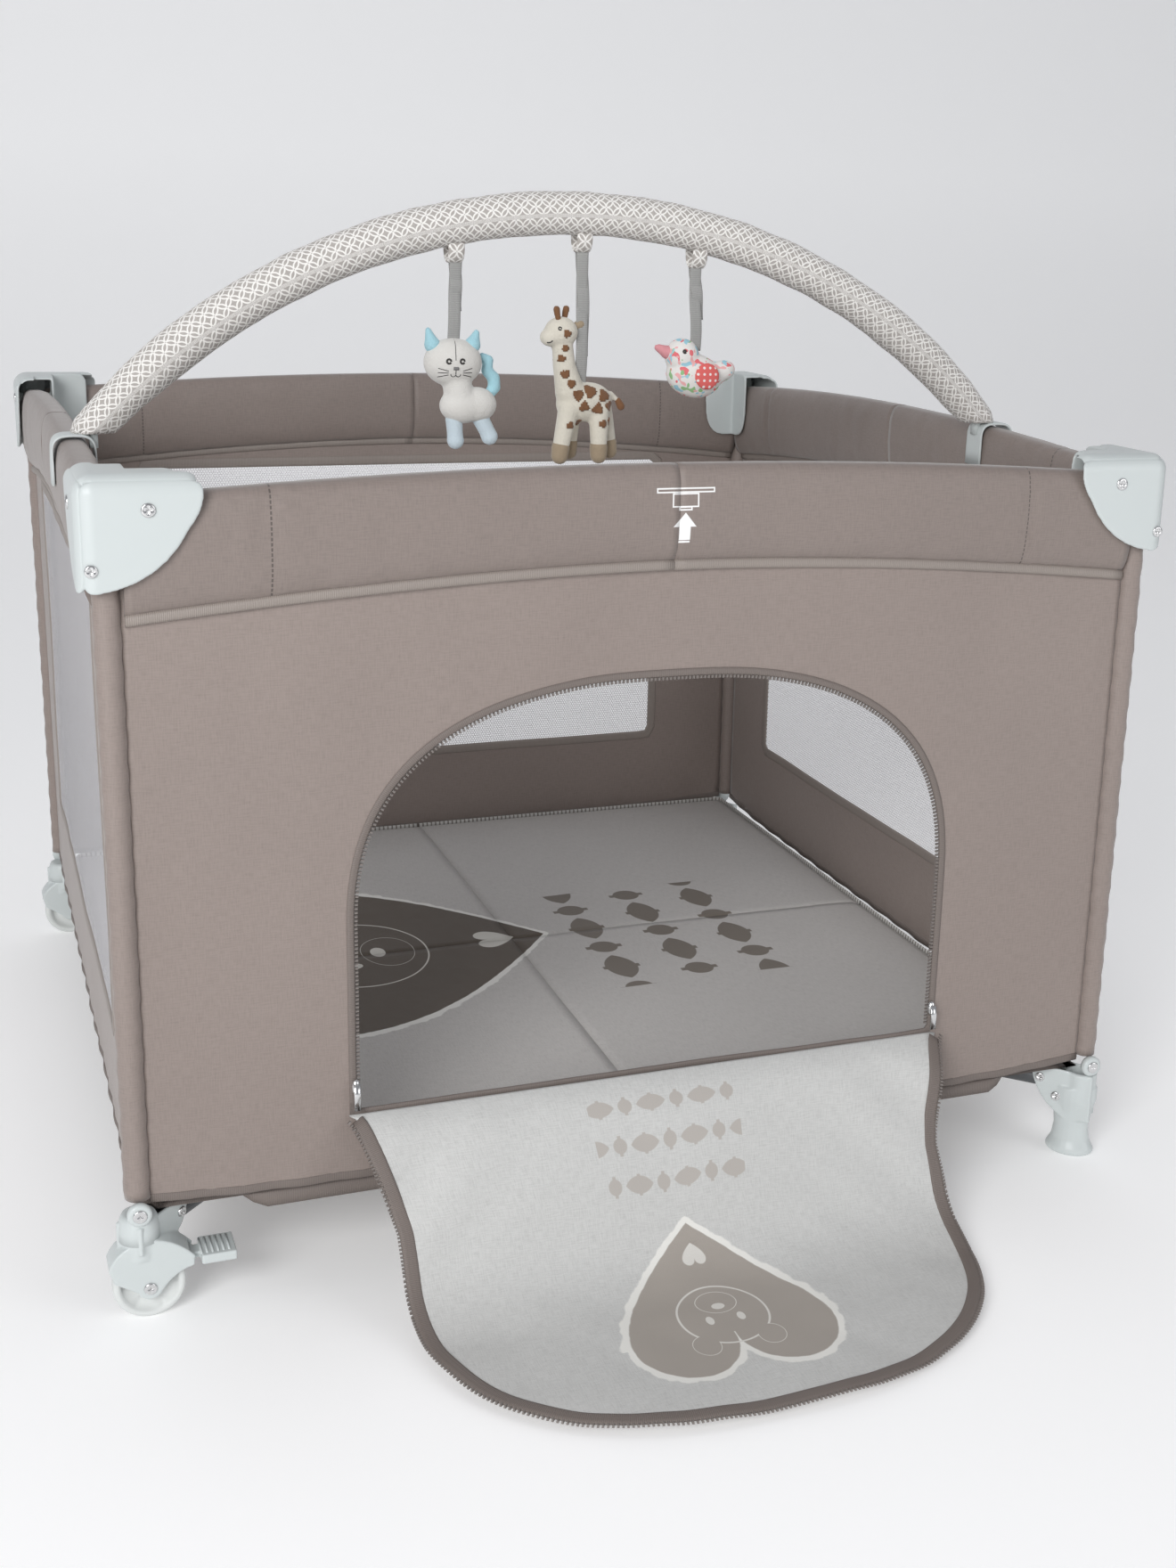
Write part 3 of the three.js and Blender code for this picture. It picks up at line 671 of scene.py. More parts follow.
def grid(name: str, rows: int, cols: int, point: Point, cloth: Callable[[int, int], Sequence[float]] | None = None,
         wrap_rows: bool = False, wrap_cols: bool = False, ends: bool = False,
         keep: Callable[[int, int], bool] | None = None) -> bpy.types.Object:
    """Surface over a grid of points.

    Args:
        name: name of the piece.
        rows: how many rows.
        cols: how many points in each.
        point: place of a row and column.
        cloth: flat cloth place of a row and column.
        wrap_rows: whether the last row joins the first.
        wrap_cols: whether each row closes.
        ends: whether the first and last rows are closed with a face.
        keep: whether the face at a row and column is made.

    Returns:
        The object.
    """
    verts = [point(i, j) for i in range(rows) for j in range(cols)]
    places = [cloth(i, j) for i in range(rows) for j in range(cols)] if cloth else ()
    faces = []
    for i in range(rows if wrap_rows else rows - 1):
        for j in range(cols if wrap_cols else cols - 1):
            if keep is None or keep(i, j):
                n, m = (i + 1) % rows, (j + 1) % cols
                faces.append((i * cols + j, i * cols + m, n * cols + m, n * cols + j))
    if ends:
        faces.append(list(range(cols))[::-1])
        faces.append([(rows - 1) * cols + j for j in range(cols)])
    thing = new_object(name, verts, faces, places)
    tidy_normals(thing)
    return thing


def tidy_normals(thing: bpy.types.Object) -> None:
    """Turns all faces of a piece outwards."""
    work = bmesh.new()
    work.from_mesh(thing.data)
    bmesh.ops.recalc_face_normals(work, faces=work.faces)
    work.to_mesh(thing.data)
    work.free()


def settle(thing: bpy.types.Object) -> bpy.types.Object:
    """Bakes a piece's modifiers into its mesh."""
    graph = bpy.context.evaluated_depsgraph_get()
    old = thing.data
    thing.data = bpy.data.meshes.new_from_object(thing.evaluated_get(graph))
    thing.data.name = thing.name
    thing.modifiers.clear()
    bpy.data.meshes.remove(old)
    thing.data.polygons.foreach_set("use_smooth", [True] * len(thing.data.polygons))
    return thing


def thicken(thing: bpy.types.Object, thickness: float) -> bpy.types.Object:
    """Gives a sheet its thickness, half to each side."""
    solid = thing.modifiers.new("thick", "SOLIDIFY")
    solid.thickness = thickness
    solid.offset = 0.0
    return settle(thing)


def sweep(name: str, path: Sequence[Vector], section: Sequence[tuple[float, float]], side: Callable[[int], Vector],
          closed: bool = False) -> bpy.types.Object:
    """Section carried along a path.

    Args:
        name: name of the piece.
        path: points of the path.
        section: (out, up) places round the section.
        side: the up direction at a point of the path.
        closed: whether the path closes.

    Returns:
        The object; its cloth place is the length along, the section's out and up.
    """
    count = len(path)
    runs = [0.0]
    for a, b in zip(path, path[1:]):
        runs.append(runs[-1] + (b - a).length)

    def frame_at(i: int) -> tuple[Vector, Vector, float]:
        """Middle and directions at a step of the path."""
        before = path[(i - 1) % count if closed else max(i - 1, 0)]
        after = path[(i + 1) % count if closed else min(i + 1, count - 1)]
        up = side(i).normalized()
        first, last = (path[i] - before), (after - path[i])
        run = (after - before).normalized()
        out = run.cross(up).normalized()
        bend = 1.0
        if first.length > 1e-9 and last.length > 1e-9:
            bend = 1 / max(0.4, math.cos(first.angle(last) / 2))
        return out, up, bend

    frames = [frame_at(i) for i in range(count)]

    def point(i: int, j: int) -> Vector:
        """Place of a point of the surface."""
        out, up, bend = frames[i]
        return path[i] + out * section[j][0] * bend + up * section[j][1]

    def cloth(i: int, j: int) -> Sequence[float]:
        """Cloth place of a point."""
        return (runs[i], section[j][0], section[j][1])

    return grid(name, count, len(section), point, cloth, wrap_rows=closed, wrap_cols=True, ends=not closed)


def oval(wide: float, high: float, count: int = 10, power: float = 1.0) -> list[tuple[float, float]]:
    """Oval section; a power below 1 squares it."""
    def bend(value: float) -> float:
        """Power of a value that keeps its sign."""
        return math.copysign(abs(value) ** power, value)
    turns = [2 * math.pi * k / count for k in range(count)]
    return [(wide * bend(math.cos(t)), high * bend(math.sin(t))) for t in turns]


def joined(name: str, parts: Sequence[bpy.types.Object]) -> bpy.types.Object:
    """Joins parts into one piece.

    Args:
        name: name of the piece.
        parts: objects with the same finish.

    Returns:
        The piece.
    """
    verts, faces, cloth = [], [], []
    for part in parts:
        start = len(verts)
        verts += [v.co.copy() for v in part.data.vertices]
        faces += [[start + k for k in face.vertices] for face in part.data.polygons]
        layer = part.data.attributes.get("cloth")
        cloth += [tuple(layer.data[k].vector) if layer else (0.0, 0.0,
                                                             0.0) for k in range(len(part.data.vertices))]
        bpy.data.objects.remove(part)
    return new_object(name, verts, faces, cloth)


def egg(name: str, at: Vector, radii: Sequence[float], turn: Matrix | None = None,
        rows: int = 14, cols: int = 20) -> bpy.types.Object:
    """Ball with three radii."""
    def point(i: int, j: int) -> Vector:
        """Place of a point of the surface."""
        up, round_ = math.pi * (i + 0.0) / (rows - 1), 2 * math.pi * j / cols
        p = Vector((radii[0] * math.sin(up) * math.cos(round_), radii[1] * math.sin(up) * math.sin(round_),
                    radii[2] * math.cos(up)))
        return at + (turn @ p if turn else p)
    return grid(name, rows, cols, point, wrap_cols=True)


def limb(name: str, points: Sequence[Vector], radii: Sequence[float]) -> bpy.types.Object:
    """Round limb through points with a radius at each, with round ends.

    Args:
        name: name of the piece.
        points: middle line.
        radii: radius at each point.

    Returns:
        The object.
    """
    parts = [egg(f"{name}_{k}", p, (r, r, r)) for k, (p, r) in enumerate(zip(points, radii))]
    for k, (a, b) in enumerate(zip(points, points[1:])):
        run = (b - a).normalized()
        out = run.orthogonal().normalized()
        other = run.cross(out)

        def point(i: int, j: int, a: Vector = a, b: Vector = b, k: int = k, out: Vector = out,
                  other: Vector = other) -> Vector:
            """Place of a point of the surface."""
            t, turn = i / 4, 2 * math.pi * j / 14
            r = radii[k] * (1 - t) + radii[k + 1] * t
            return a.lerp(b, t) + (out * math.cos(turn) + other * math.sin(turn)) * r
        parts.append(grid(f"{name}_s{k}", 5, 14, point, wrap_cols=True, ends=True))
    return joined(name, parts)


def melt(thing: bpy.types.Object, voxel: float, rounds: int = 6, factor: float = 0.5) -> bpy.types.Object:
    """Fuses a piece into one skin and rounds its edges.

    Args:
        thing: piece with closed parts.
        voxel: size of the remesh.
        rounds: smoothing passes.
        factor: strength of each.

    Returns:
        The piece.
    """
    remesh = thing.modifiers.new("fuse", "REMESH")
    remesh.mode = "VOXEL"
    remesh.voxel_size = voxel
    ease = thing.modifiers.new("ease", "SMOOTH")
    ease.factor = factor
    ease.iterations = rounds
    return settle(thing)


def copy_node(node: str, name: str) -> bpy.types.Object:
    """Copy of a CAD node's mesh as a new piece, in row places."""
    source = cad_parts[node]
    mesh = source.data.copy()
    mesh.materials.clear()
    thing = bpy.data.objects.new(name, mesh)
    bpy.context.scene.collection.objects.link(thing)
    return thing


def turn_and_place(thing: bpy.types.Object, quarter: int = 0) -> bpy.types.Object:
    """Turns a piece made for the front by quarter turns and moves it to its row place."""
    matrix = Matrix.Translation(LAYOUT.centre) @ Matrix.Rotation(quarter * math.pi / 2, 4, "Z")
    thing.data.transform(matrix)
    thing.data.update()
    return thing


class Squeeze(Enum):
    """How a soft piece gives way as the frame folds."""

    NONE = "none"
    ALONG_X = "x"
    ALONG_Y = "y"


def dress(thing: bpy.types.Object, finish: Finish, body: str, squeeze: Squeeze = Squeeze.NONE,
          nodes: Sequence[str] = ()) -> bpy.types.Object:
    """Gives a piece its finish and body, and hides the CAD nodes that it stands for.

    Args:
        thing: the piece, in row places.
        finish: its finish.
        body: the CAD body that it rides on.
        squeeze: how it would give way as the frame folds; any squeeze but none only gives the piece its own copy of
            its mesh.
        nodes: CAD nodes that it stands for.

    Returns:
        The piece.
    """
    thing.data.materials.clear()
    thing.data.materials.append(finish.material())
    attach(thing, body)
    if nodes:
        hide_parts(*nodes)
    if squeeze is Squeeze.ALONG_X:
        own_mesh(thing)
    if squeeze is Squeeze.ALONG_Y:
        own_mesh(thing)
    LOG.info("piece %s on %s", thing.name, body)
    return thing


POST_BODY = {"front_left": "root", "front_right": "post_front_right", "back_right": "post_back_right",
             "back_left": "post_back_left"}
WALL_BODY = {"front": "root", "right": "post_front_right", "back": "post_back_left", "left": "root"}
WALL_SQUEEZE = {"front": Squeeze.ALONG_X, "right": Squeeze.ALONG_Y, "back": Squeeze.ALONG_X,
                "left": Squeeze.ALONG_Y}


def spread(start: float, end: float, count: int) -> list[float]:
    """Evenly spread numbers from start to end."""
    return [start + (end - start) * k / (count - 1) for k in range(count)]


def ripple(x: float, y: float, seed: float, size: float) -> float:
    """Smooth random height from -1 to 1 with bumps of about a size."""
    return noise.noise(Vector((x / size, y / size, seed)))


# ---- Rails and bands ---------------------------------------------------------------------------
@dataclass
class Bands:
    """Padded cloth bands round the eight rails."""

    wide: float = 0.0165
    crown: float = 0.0135
    hem: float = 0.0085
    seam: float = 0.646
    inset: float = 0.0135

    def top(self, x: float) -> float:
        """Height of the band's top at a place along the side."""
        return LAYOUT.rail_z + 0.0255 - self.crown * (abs(x) / 0.40) ** 2

    def low(self, x: float) -> float:
        """Height of the band's seam at a place along the side."""
        return self.seam - 0.024 * (abs(x) / 0.43) ** 1.8

    def piece(self, name: str, left: float, right: float, seed: float) -> bpy.types.Object:
        """Half of one side's band, made for the front side.

        Args:
            name: name of the piece.
            left: where it starts along the side.
            right: where it ends.
            seed: which folds it gets.

        Returns:
            The object; its cloth place is along, height and outwards.
        """
        rows, cols = 66, 34
        stops = spread(left, right, rows)

        def point(i: int, j: int) -> Vector:
            """Place of a point of the surface."""
            x = stops[i]
            high, low = self.top(x), self.low(x)
            rise, wide = (high - low), self.wide
            turn = 2 * math.pi * j / cols
            out, up = math.cos(turn), math.sin(turn)
            shape = 0.62 if up > 0 else 0.42
            z = (high + low) / 2 + math.copysign(abs(up) ** shape, up) * rise / 2
            depth = math.copysign(abs(out) ** 0.55, out) * wide
            share = (z - low) / rise
            pinch = 0.50 + 0.50 * min(1.0, share / 0.35) ** 0.6
            seam_x = min(abs(x - 0.347), abs(x + 0.347))
            pinch *= 1 - 0.13 * math.exp(-((seam_x / 0.004) ** 2))
            sag = 0.0017 * ripple(x, z, seed, 0.05) + 0.0006 * ripple(x, z, seed + 7, 0.018)
            tucks = 0.0015 * math.exp(-((seam_x / 0.03) ** 2)) * math.sin(z * 420 + x * 260)
            return Vector((x, -H - depth * pinch - math.copysign(sag + tucks, out), z))

        def cloth(i: int, j: int) -> Sequence[float]:
            """Cloth place of a point."""
            place = point(i, j)
            return (stops[i], place.z, -H - place.y)

        return grid(name, rows, cols, point, cloth, wrap_cols=True, ends=True)

    def build(self) -> None:
        """Makes the bands, their hems and piping."""
        for quarter, side in enumerate(SIDES):
            for end, share in zip(ENDS[side], (-1, 1)):
                edge = H - self.inset
                left, right = (-edge, -0.0001) if share < 0 else (0.0001, edge)
                body = f"rail_{side}_{end}"
                band = turn_and_place(self.piece(f"band_cover_{side}_{end}", left, right,
                                                 quarter * 3.1 + share), quarter)
                finish = SIGN_CLOTH if side == "front" else BAND_CLOTH
                dress(band, finish, body, nodes=[f"band_{side}_{end}"])
                self.fold(band)
                hem = self.hem_strip(f"band_hem_{side}_{end}", left, right)
                dress(turn_and_place(hem, quarter), PIPING, body)
                self.fold(hem)

    def hem_strip(self, name: str, left: float, right: float) -> bpy.types.Object:
        """Folded hem under the band's seam."""
        path = [Vector((x, -H - 0.003, self.low(x) - self.hem / 2 + 0.001)) for x in spread(left, right, 40)]
        return sweep(name, path, oval(0.0052, self.hem / 2 + 0.001, 12, 0.8), lambda i: UP)

    def fold(self, thing: bpy.types.Object) -> None:
        """Gives a band its own copy of its mesh."""
        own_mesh(thing)


# ---- Walls -------------------------------------------------------------------------------------
def arch(share: float, half: float, low: float, spring: float, high: float, power: float) -> tuple[float, float]:
    """Place on an arch's outline.

    Args:
        share: 0 to 1 once round, from the low right corner upwards.
        half: half of its width.
        low: its sill.
        spring: height where it starts to bend.
        high: its top.
        power: how square the bend is.

    Returns:
        Along and height.
    """
    bend = math.pi / 2 * (half + high - spring) * 1.1
    lengths = [2 * half, spring - low, bend, spring - low]
    total = sum(lengths)
    run = share % 1.0 * total
    if run < lengths[0]:
        return -half + run, low
    run -= lengths[0]
    if run < lengths[1]:
        return half, low + run
    run -= lengths[1]
    if run < lengths[2]:
        turn = math.pi * run / lengths[2]
        c, s = math.cos(turn), math.sin(turn)
        return math.copysign(abs(c) ** (2 / power),
                             c) * half, spring + (abs(s) ** (2 / power)) * (high - spring)
    run -= lengths[2]
    return -half, spring - run


DOOR = (0.287, 0.165, 0.330, 0.545, 2.5)


def door_line(count: int, grow: float = 0.0) -> list[tuple[float, float]]:
    """Places round the door, evenly spread by length.

    Args:
        count: how many.
        grow: how far outside the door's edge.

    Returns:
        Along and height of each.
    """
    half, low, spring, high, power = DOOR
    fine = [arch(k / 1200, half + grow, low - grow, spring, high + grow, power) for k in range(1201)]
    runs = [0.0]
    for a, b in zip(fine, fine[1:]):
        runs.append(runs[-1] + math.dist(a, b))
    places, at = [], 0
    for k in range(count):
        want = runs[-1] * k / count
        while runs[at + 1] < want:
            at += 1
        part = (want - runs[at]) / max(1e-9, runs[at + 1] - runs[at])
        a, b = fine[at], fine[at + 1]
        places.append((a[0] + (b[0] - a[0]) * part, a[1] + (b[1] - a[1]) * part))
    return places


def rounded_line(left: float, right: float, low: float, high: float, corner: float,
                 count: int) -> list[tuple[float, float]]:
    """Places round a rectangle with rounded corners, from the low left, anticlockwise."""
    places = []
    for cx, cz, start in ((right - corner, low + corner, -90), (right - corner, high - corner, 0),
                          (left + corner, high - corner, 90), (left + corner, low + corner, 180)):
        for k in range(count):
            turn = math.radians(start + 90 * k / (count - 1))
            places.append((cx + corner * math.cos(turn), cz + corner * math.sin(turn)))
    return places


def fill_between(outer: Sequence[tuple[float, float]], inner: Sequence[tuple[float, float]], rows: int,
                 name: str, place: Callable[[float, float], Vector]) -> bpy.types.Object:
    """Ring of cloth between two closed lines with the same number of places."""
    def flat(i: int, j: int) -> tuple[float, float]:
        """Flat place of a point of the sheet."""
        t = i / (rows - 1)
        a, b = inner[j], outer[j]
        return a[0] + (b[0] - a[0]) * t, a[1] + (b[1] - a[1]) * t

    def cloth(i: int, j: int) -> Sequence[float]:
        """Cloth place of a point."""
        x, z = flat(i, j)
        return (x, z, 1.0)

    return grid(name, rows, len(inner), lambda i, j: place(*flat(i, j)), cloth, wrap_cols=True)


def outward(places: Sequence[tuple[float, float]], left: float, right: float, low: float, high: float,
            middle_x: float, middle_z: float) -> list[tuple[float, float]]:
    """Casts places from a middle onto a rectangle's edge."""
    result = []
    for x, z in places:
        dx, dz = x - middle_x, z - middle_z
        reach = min(((right - middle_x) / dx if dx > 1e-9 else (left - middle_x) / dx if dx < -1e-9 else 1e9),
                    ((high - middle_z) / dz if dz > 1e-9 else (low - middle_z) / dz if dz < -1e-9 else 1e9))
        result.append((middle_x + dx * reach, middle_z + dz * reach))
    return result


@dataclass
class Walls:
    """Cloth wall with a zipped door, and three walls with net windows."""

    out: float = 0.002
    inset: float = 0.0105
    low: float = 0.102
    high: float = 0.665
    thick: float = 0.0012
    window: tuple[float, float, float, float] = (-0.352, 0.352, 0.211, 0.617)

    def surface(self, seed: float, pull: float = 1.0) -> Callable[[float, float], Vector]:
        """Shape of a hanging wall, made for the front side.

        Args:
            seed: which folds it gets.
            pull: how strong they are.

        Returns:
            Place for an along and a height.
        """
        def place(x: float, z: float) -> Vector:
            """Place on the wall for a place along it and a height."""
            edge = max(0.0, 1 - (H - self.inset - abs(x)) / 0.10)
            drop = (z - self.low) / (self.high - self.low)
            wave = 0.0030 * ripple(x * 1.4, z * 0.5, seed, 0.16) + 0.0013 * ripple(x, z * 0.6, seed + 3, 0.055)
            tucks = 0.0015 * edge ** 2 * math.sin(z * 150 + 4 * ripple(x, z, seed, 0.1))
            hem = 0.0010 * math.exp(-(((z - self.low) / 0.025) ** 2)) * math.sin(x * 115 + seed)
            calm = min(1.0, 12 * drop * (1 - drop) + 0.35)
            sag = 0.006 * max(0.0, (abs(x) - 0.30) / 0.15) ** 2 * math.exp(-((z - self.low) / 0.06))
            still = min(1.0, (H - abs(x)) / 0.05) ** 2
            return Vector((x, -H - self.out - pull * calm * (wave + tucks) * still - hem * still, z + sag))
        return place

    def front(self) -> None:
        """Makes the front wall with its door hole."""
        place = self.surface(2.3)
        door = door_line(220)
        edge = H - self.inset
        outer = outward(door, -edge, edge, self.low, self.high, 0.0, 0.36)
        for corner in ((-edge, self.low), (edge, self.low), (-edge, self.high), (edge, self.high)):
            nearest = min(range(len(outer)), key=lambda k: math.dist(outer[k], corner))
            outer[nearest] = corner
        wall = fill_between(outer, door, 44, "wall_sheet_front", place)
        turn_and_place(thicken(wall, self.thick))
        dress(wall, WALL_CLOTH, "root", Squeeze.ALONG_X, ["wall_front"])
        half, low, spring, high, power = DOOR
        hole = 2 * half * (spring - low) + 0.87 * 2 * half * (high - spring)
        flat = (2 * edge, self.high - self.low)
        flat[0] * flat[1] - hole

    def windowed(self, side: str, quarter: int) -> None:
        """Makes a wall with its net window and binding tapes."""
        place = self.surface(quarter * 5.7, 0.5)
        left, right, low, high = self.window
        edge = H - self.inset
        inner = self.even(rounded_line(left, right, low, high, 0.010, 6), 160)
        outer = outward(inner, -edge, edge, self.low, self.high, 0.0, (low + high) / 2)
        for corner in ((-edge, self.low), (edge, self.low), (-edge, self.high), (edge, self.high)):
            nearest = min(range(len(outer)), key=lambda k: math.dist(outer[k], corner))
            outer[nearest] = corner
        frame_piece = fill_between(outer, inner, 16, f"wall_sheet_{side}", place)
        turn_and_place(thicken(frame_piece, self.thick), quarter)
        body, squeeze = WALL_BODY[side], WALL_SQUEEZE[side]
        dress(frame_piece, WALL_CLOTH, body, squeeze, [f"wall_{side}"])
        flat = (2 * edge, self.high - self.low)
        opening = (right - left) * (high - low)
        flat[0] * flat[1] - opening
        columns, rows = 50, 30

        def net_flat(i: int, j: int) -> tuple[float, float]:
            """Place across and up the net."""
            return (left - 0.004 + (right - left + 0.008) * j / (columns - 1),
                    low - 0.004 + (high - low + 0.008) * i / (rows - 1))

        def net_cloth(i: int, j: int) -> Sequence[float]:
            """Cloth place on the net."""
            x, z = net_flat(i, j)
            return (x, z, 1.0)

        def inside(i: int, j: int) -> bool:
            """Whether a face is kept, so that the net's corners are left off."""
            return not (i in (0, rows - 2) and j in (0, columns - 2))

        net = grid(f"net_{side}", rows, columns, lambda i, j: place(*net_flat(i, j)), net_cloth, keep=inside)
        turn_and_place(net, quarter)
        dress(net, NET, body, squeeze)
        line = [place(x, z) for x, z in inner]
        middle_at = place(0.0, (low + high) / 2)
        tape = sweep(f"window_tape_{side}", line, oval(0.0062, 0.0016, 10, 0.6), lambda i: Vector((0, -1, 0)), closed=True)
        turn_and_place(tape, quarter)
        dress(tape, PIPING, body, squeeze)

    @staticmethod
    def even(places: Sequence[tuple[float, float]], count: int) -> list[tuple[float, float]]:
        """Spreads places evenly round a closed line."""
        ring = [*places, places[0]]
        runs = [0.0]
        for a, b in zip(ring, ring[1:]):
            runs.append(runs[-1] + math.dist(a, b))
        result, at = [], 0
        for k in range(count):
            want = runs[-1] * k / count
            while runs[at + 1] < want:
                at += 1
            part = (want - runs[at]) / max(1e-9, runs[at + 1] - runs[at])
            a, b = ring[at], ring[at + 1]
            result.append((a[0] + (b[0] - a[0]) * part, a[1] + (b[1] - a[1]) * part))
        return result

    def hems(self) -> None:
        """Makes the rolled hem under each wall."""
        for quarter, side in enumerate(SIDES):
            place = self.surface(2.3 if side == "front" else quarter * 5.7, 1.0 if side == "front" else 0.5)
            edge = H - self.inset
            path = [place(x, self.low + 0.002) for x in spread(-edge, edge, 90)]
            hem = sweep(f"wall_hem_{side}", path, oval(0.0016, 0.0042, 10, 0.8), lambda i: UP)
            turn_and_place(hem, quarter)
            dress(hem, TAPE, WALL_BODY[side], WALL_SQUEEZE[side])

    def build(self) -> None:
        """Makes the four walls."""
        self.front()
        for quarter, side in enumerate(SIDES):
            if side != "front":
                self.windowed(side, quarter)
        self.hems()


# ---- Door --------------------------------------------------------------------------------------
FLAP_FALL = ((0.0, 0.166), (0.012, 0.163), (0.025, 0.150), (0.050, 0.110), (0.074, 0.062), (0.099, 0.024),
             (0.136, 0.0075), (0.200, 0.0050), (0.288, 0.0045), (0.320, 0.0045))


@dataclass
class Door:
    """Zip round the doorway and the flap lying open in front."""

    margin: float = 0.010
    taper: float = 0.125
    pitch: float = 0.0030
    wall_out: float = 0.002

    def fall(self, run: float) -> tuple[float, float]:
        """Place down the open flap: how far out and how high, for a length from the sill."""
        for (a_out, a_up), (b_out, b_up) in zip(FLAP_FALL, FLAP_FALL[1:]):
            step = math.hypot(b_out - a_out, b_up - a_up)
            if run <= step or (b_out, b_up) == FLAP_FALL[-1]:
                t = run / step
                return a_out + (b_out - a_out) * t, a_up + (b_up - a_up) * t
            run -= step
        return FLAP_FALL[-1]

    def drop(self, x: float, run: float) -> Vector:
        """Place on the open flap for a place across and a length from the sill."""
        steps = [self.fall(max(0.0, run + d)) for d in (-0.018, -0.009, 0.0, 0.009, 0.018)]
        out = sum(s[0] for s in steps) / 5
        up = sum(s[1] for s in steps) / 5
        slack = min(1.0, run / 0.05)
        lift = 0.0035 * slack * (1 + ripple(x, run, 4.2, 0.11)) + 0.0012 * slack * (1 + ripple(x, run, 9.1, 0.04))
        corner = max(0.0, 1 - (DOOR[0] - abs(x)) / 0.16)
        folds = math.sin((abs(x) - run * 1.15) * 62) * math.exp(-((run / 0.17) ** 2)) * corner
        narrow = 1 - self.taper * min(1.0, run / 0.12) ** 0.8
        return Vector((x * narrow, -H - self.wall_out - 0.001 - out - 0.0035 * folds * slack, up + lift))

    def outline(self, count: int, grow: float = 0.0) -> list[tuple[float, float]]:
        """Flat outline of the flap: across, and length from the sill."""
        half, low, spring, high, power = DOOR
        places = [arch(k / 1200, half + grow, 0.0, spring - low, high - low + grow,
                       power) for k in range(1200)]
        return Walls.even(places, count)

    def flap(self) -> None:
        """Makes the flap's cloth."""
        rim = self.outline(200, self.margin - 0.004)
        rows = 46

        def flat(i: int, j: int) -> tuple[float, float]:
            """Flat place of a point of the sheet."""
            t = i / (rows - 1)
            x, run = rim[j]
            return x * t, 0.17 + (run - 0.17) * t

        def cloth(i: int, j: int) -> Sequence[float]:
            """Cloth place of a point."""
            x, run = flat(i, j)
            return (x, run, 1.0)

        sheet = grid("flap_sheet", rows, len(rim), lambda i, j: self.drop(*flat(i, j)), cloth, wrap_cols=True)
        turn_and_place(thicken(sheet, 0.0016))
        dress(sheet, FLAP_CLOTH, "door_flap", Squeeze.ALONG_X, ["door_flap"])
        half, low, spring, high, power = DOOR

    def open_rim(self, count: int, grow: float) -> list[tuple[float, float]]:
        """The flap's rim without its sill, from the low right round to the low left."""
        rim = self.outline(1200, grow)
        kept = [p for p in rim if p[1] > 0.012]
        return [kept[int(k * (len(kept) - 1) / (count - 1))] for k in range(count)]

    def bindings(self) -> None:
        """Makes the flap's edge tape and the tape of the doorway."""
        edge = [self.drop(x, run) + Vector((0, 0, 0.0004)) for x, run in self.open_rim(150, 0.007)]
        tape = sweep("flap_tape", edge, oval(0.0066, 0.0017, 10, 0.6), lambda i: self.facing(edge, i))
        turn_and_place(tape)
        dress(tape, TAPE, "door_flap", Squeeze.ALONG_X)
        place = Walls().surface(2.3)
        line = [place(x, z) for x, z in door_line(170, 0.001)]
        around = sweep("door_tape", line, oval(0.0036, 0.0022, 10, 0.8), lambda i: Vector((0, -1, 0)),
                       closed=True)
        turn_and_place(around)
        dress(around, TAPE, "root", Squeeze.ALONG_X)

    @staticmethod
    def facing(line: Sequence[Vector], i: int) -> Vector:
        """Outer direction of the flap's face at a place of its rim."""
        height = line[i].z
        tilt = min(1.0, max(0.0, (height - 0.012) / 0.08))
        return Vector((0, -tilt, 1 - 0.75 * tilt)).normalized()

    def teeth(self) -> None:
        """Makes the zip's teeth on both edges, and its two sliders."""
        place = Walls().surface(2.3)
        around = [p for p in door_line(1400, -0.0040) if p[1] > 0.172]
        start = max(range(len(around)), key=lambda k: math.dist(around[k], around[k - 1]))
        around = around[start:] + around[:start]
        spots = [place(x, z) for x, z in around]
        dress(turn_and_place(self.row("door_teeth", spots, lambda i: Vector((0, -1, 0)))), ZIP,
              "root",
              Squeeze.ALONG_X)
        rim = [self.drop(x, run) + Vector((0, 0, 0.0006)) for x, run in self.open_rim(900, 0.0145)]
        dress(turn_and_place(self.row("flap_teeth", rim, lambda i: self.facing(rim, i))), ZIP,
              "door_flap", Squeeze.ALONG_X)
        for name, x, z in (("left", -DOOR[0] + 0.001, 0.19), ("right", DOOR[0] - 0.001, 0.19)):
            at = place(x, z) + Vector((0, -0.004, 0))
            body = egg("body", at, (0.0042, 0.0035, 0.0075))
            tab = sweep("tab", [at + Vector((0, -0.004, 0.004)), at + Vector((0, -0.006, -0.006)),
                                at + Vector((0, -0.0055, -0.020))], oval(0.0032, 0.0010, 8, 0.6),
                        lambda i: Vector((0, -1, 0)))
            slider = joined(f"zip_slider_{name}", [body, tab])
            dress(turn_and_place(slider), CHROME, "root", Squeeze.ALONG_X)

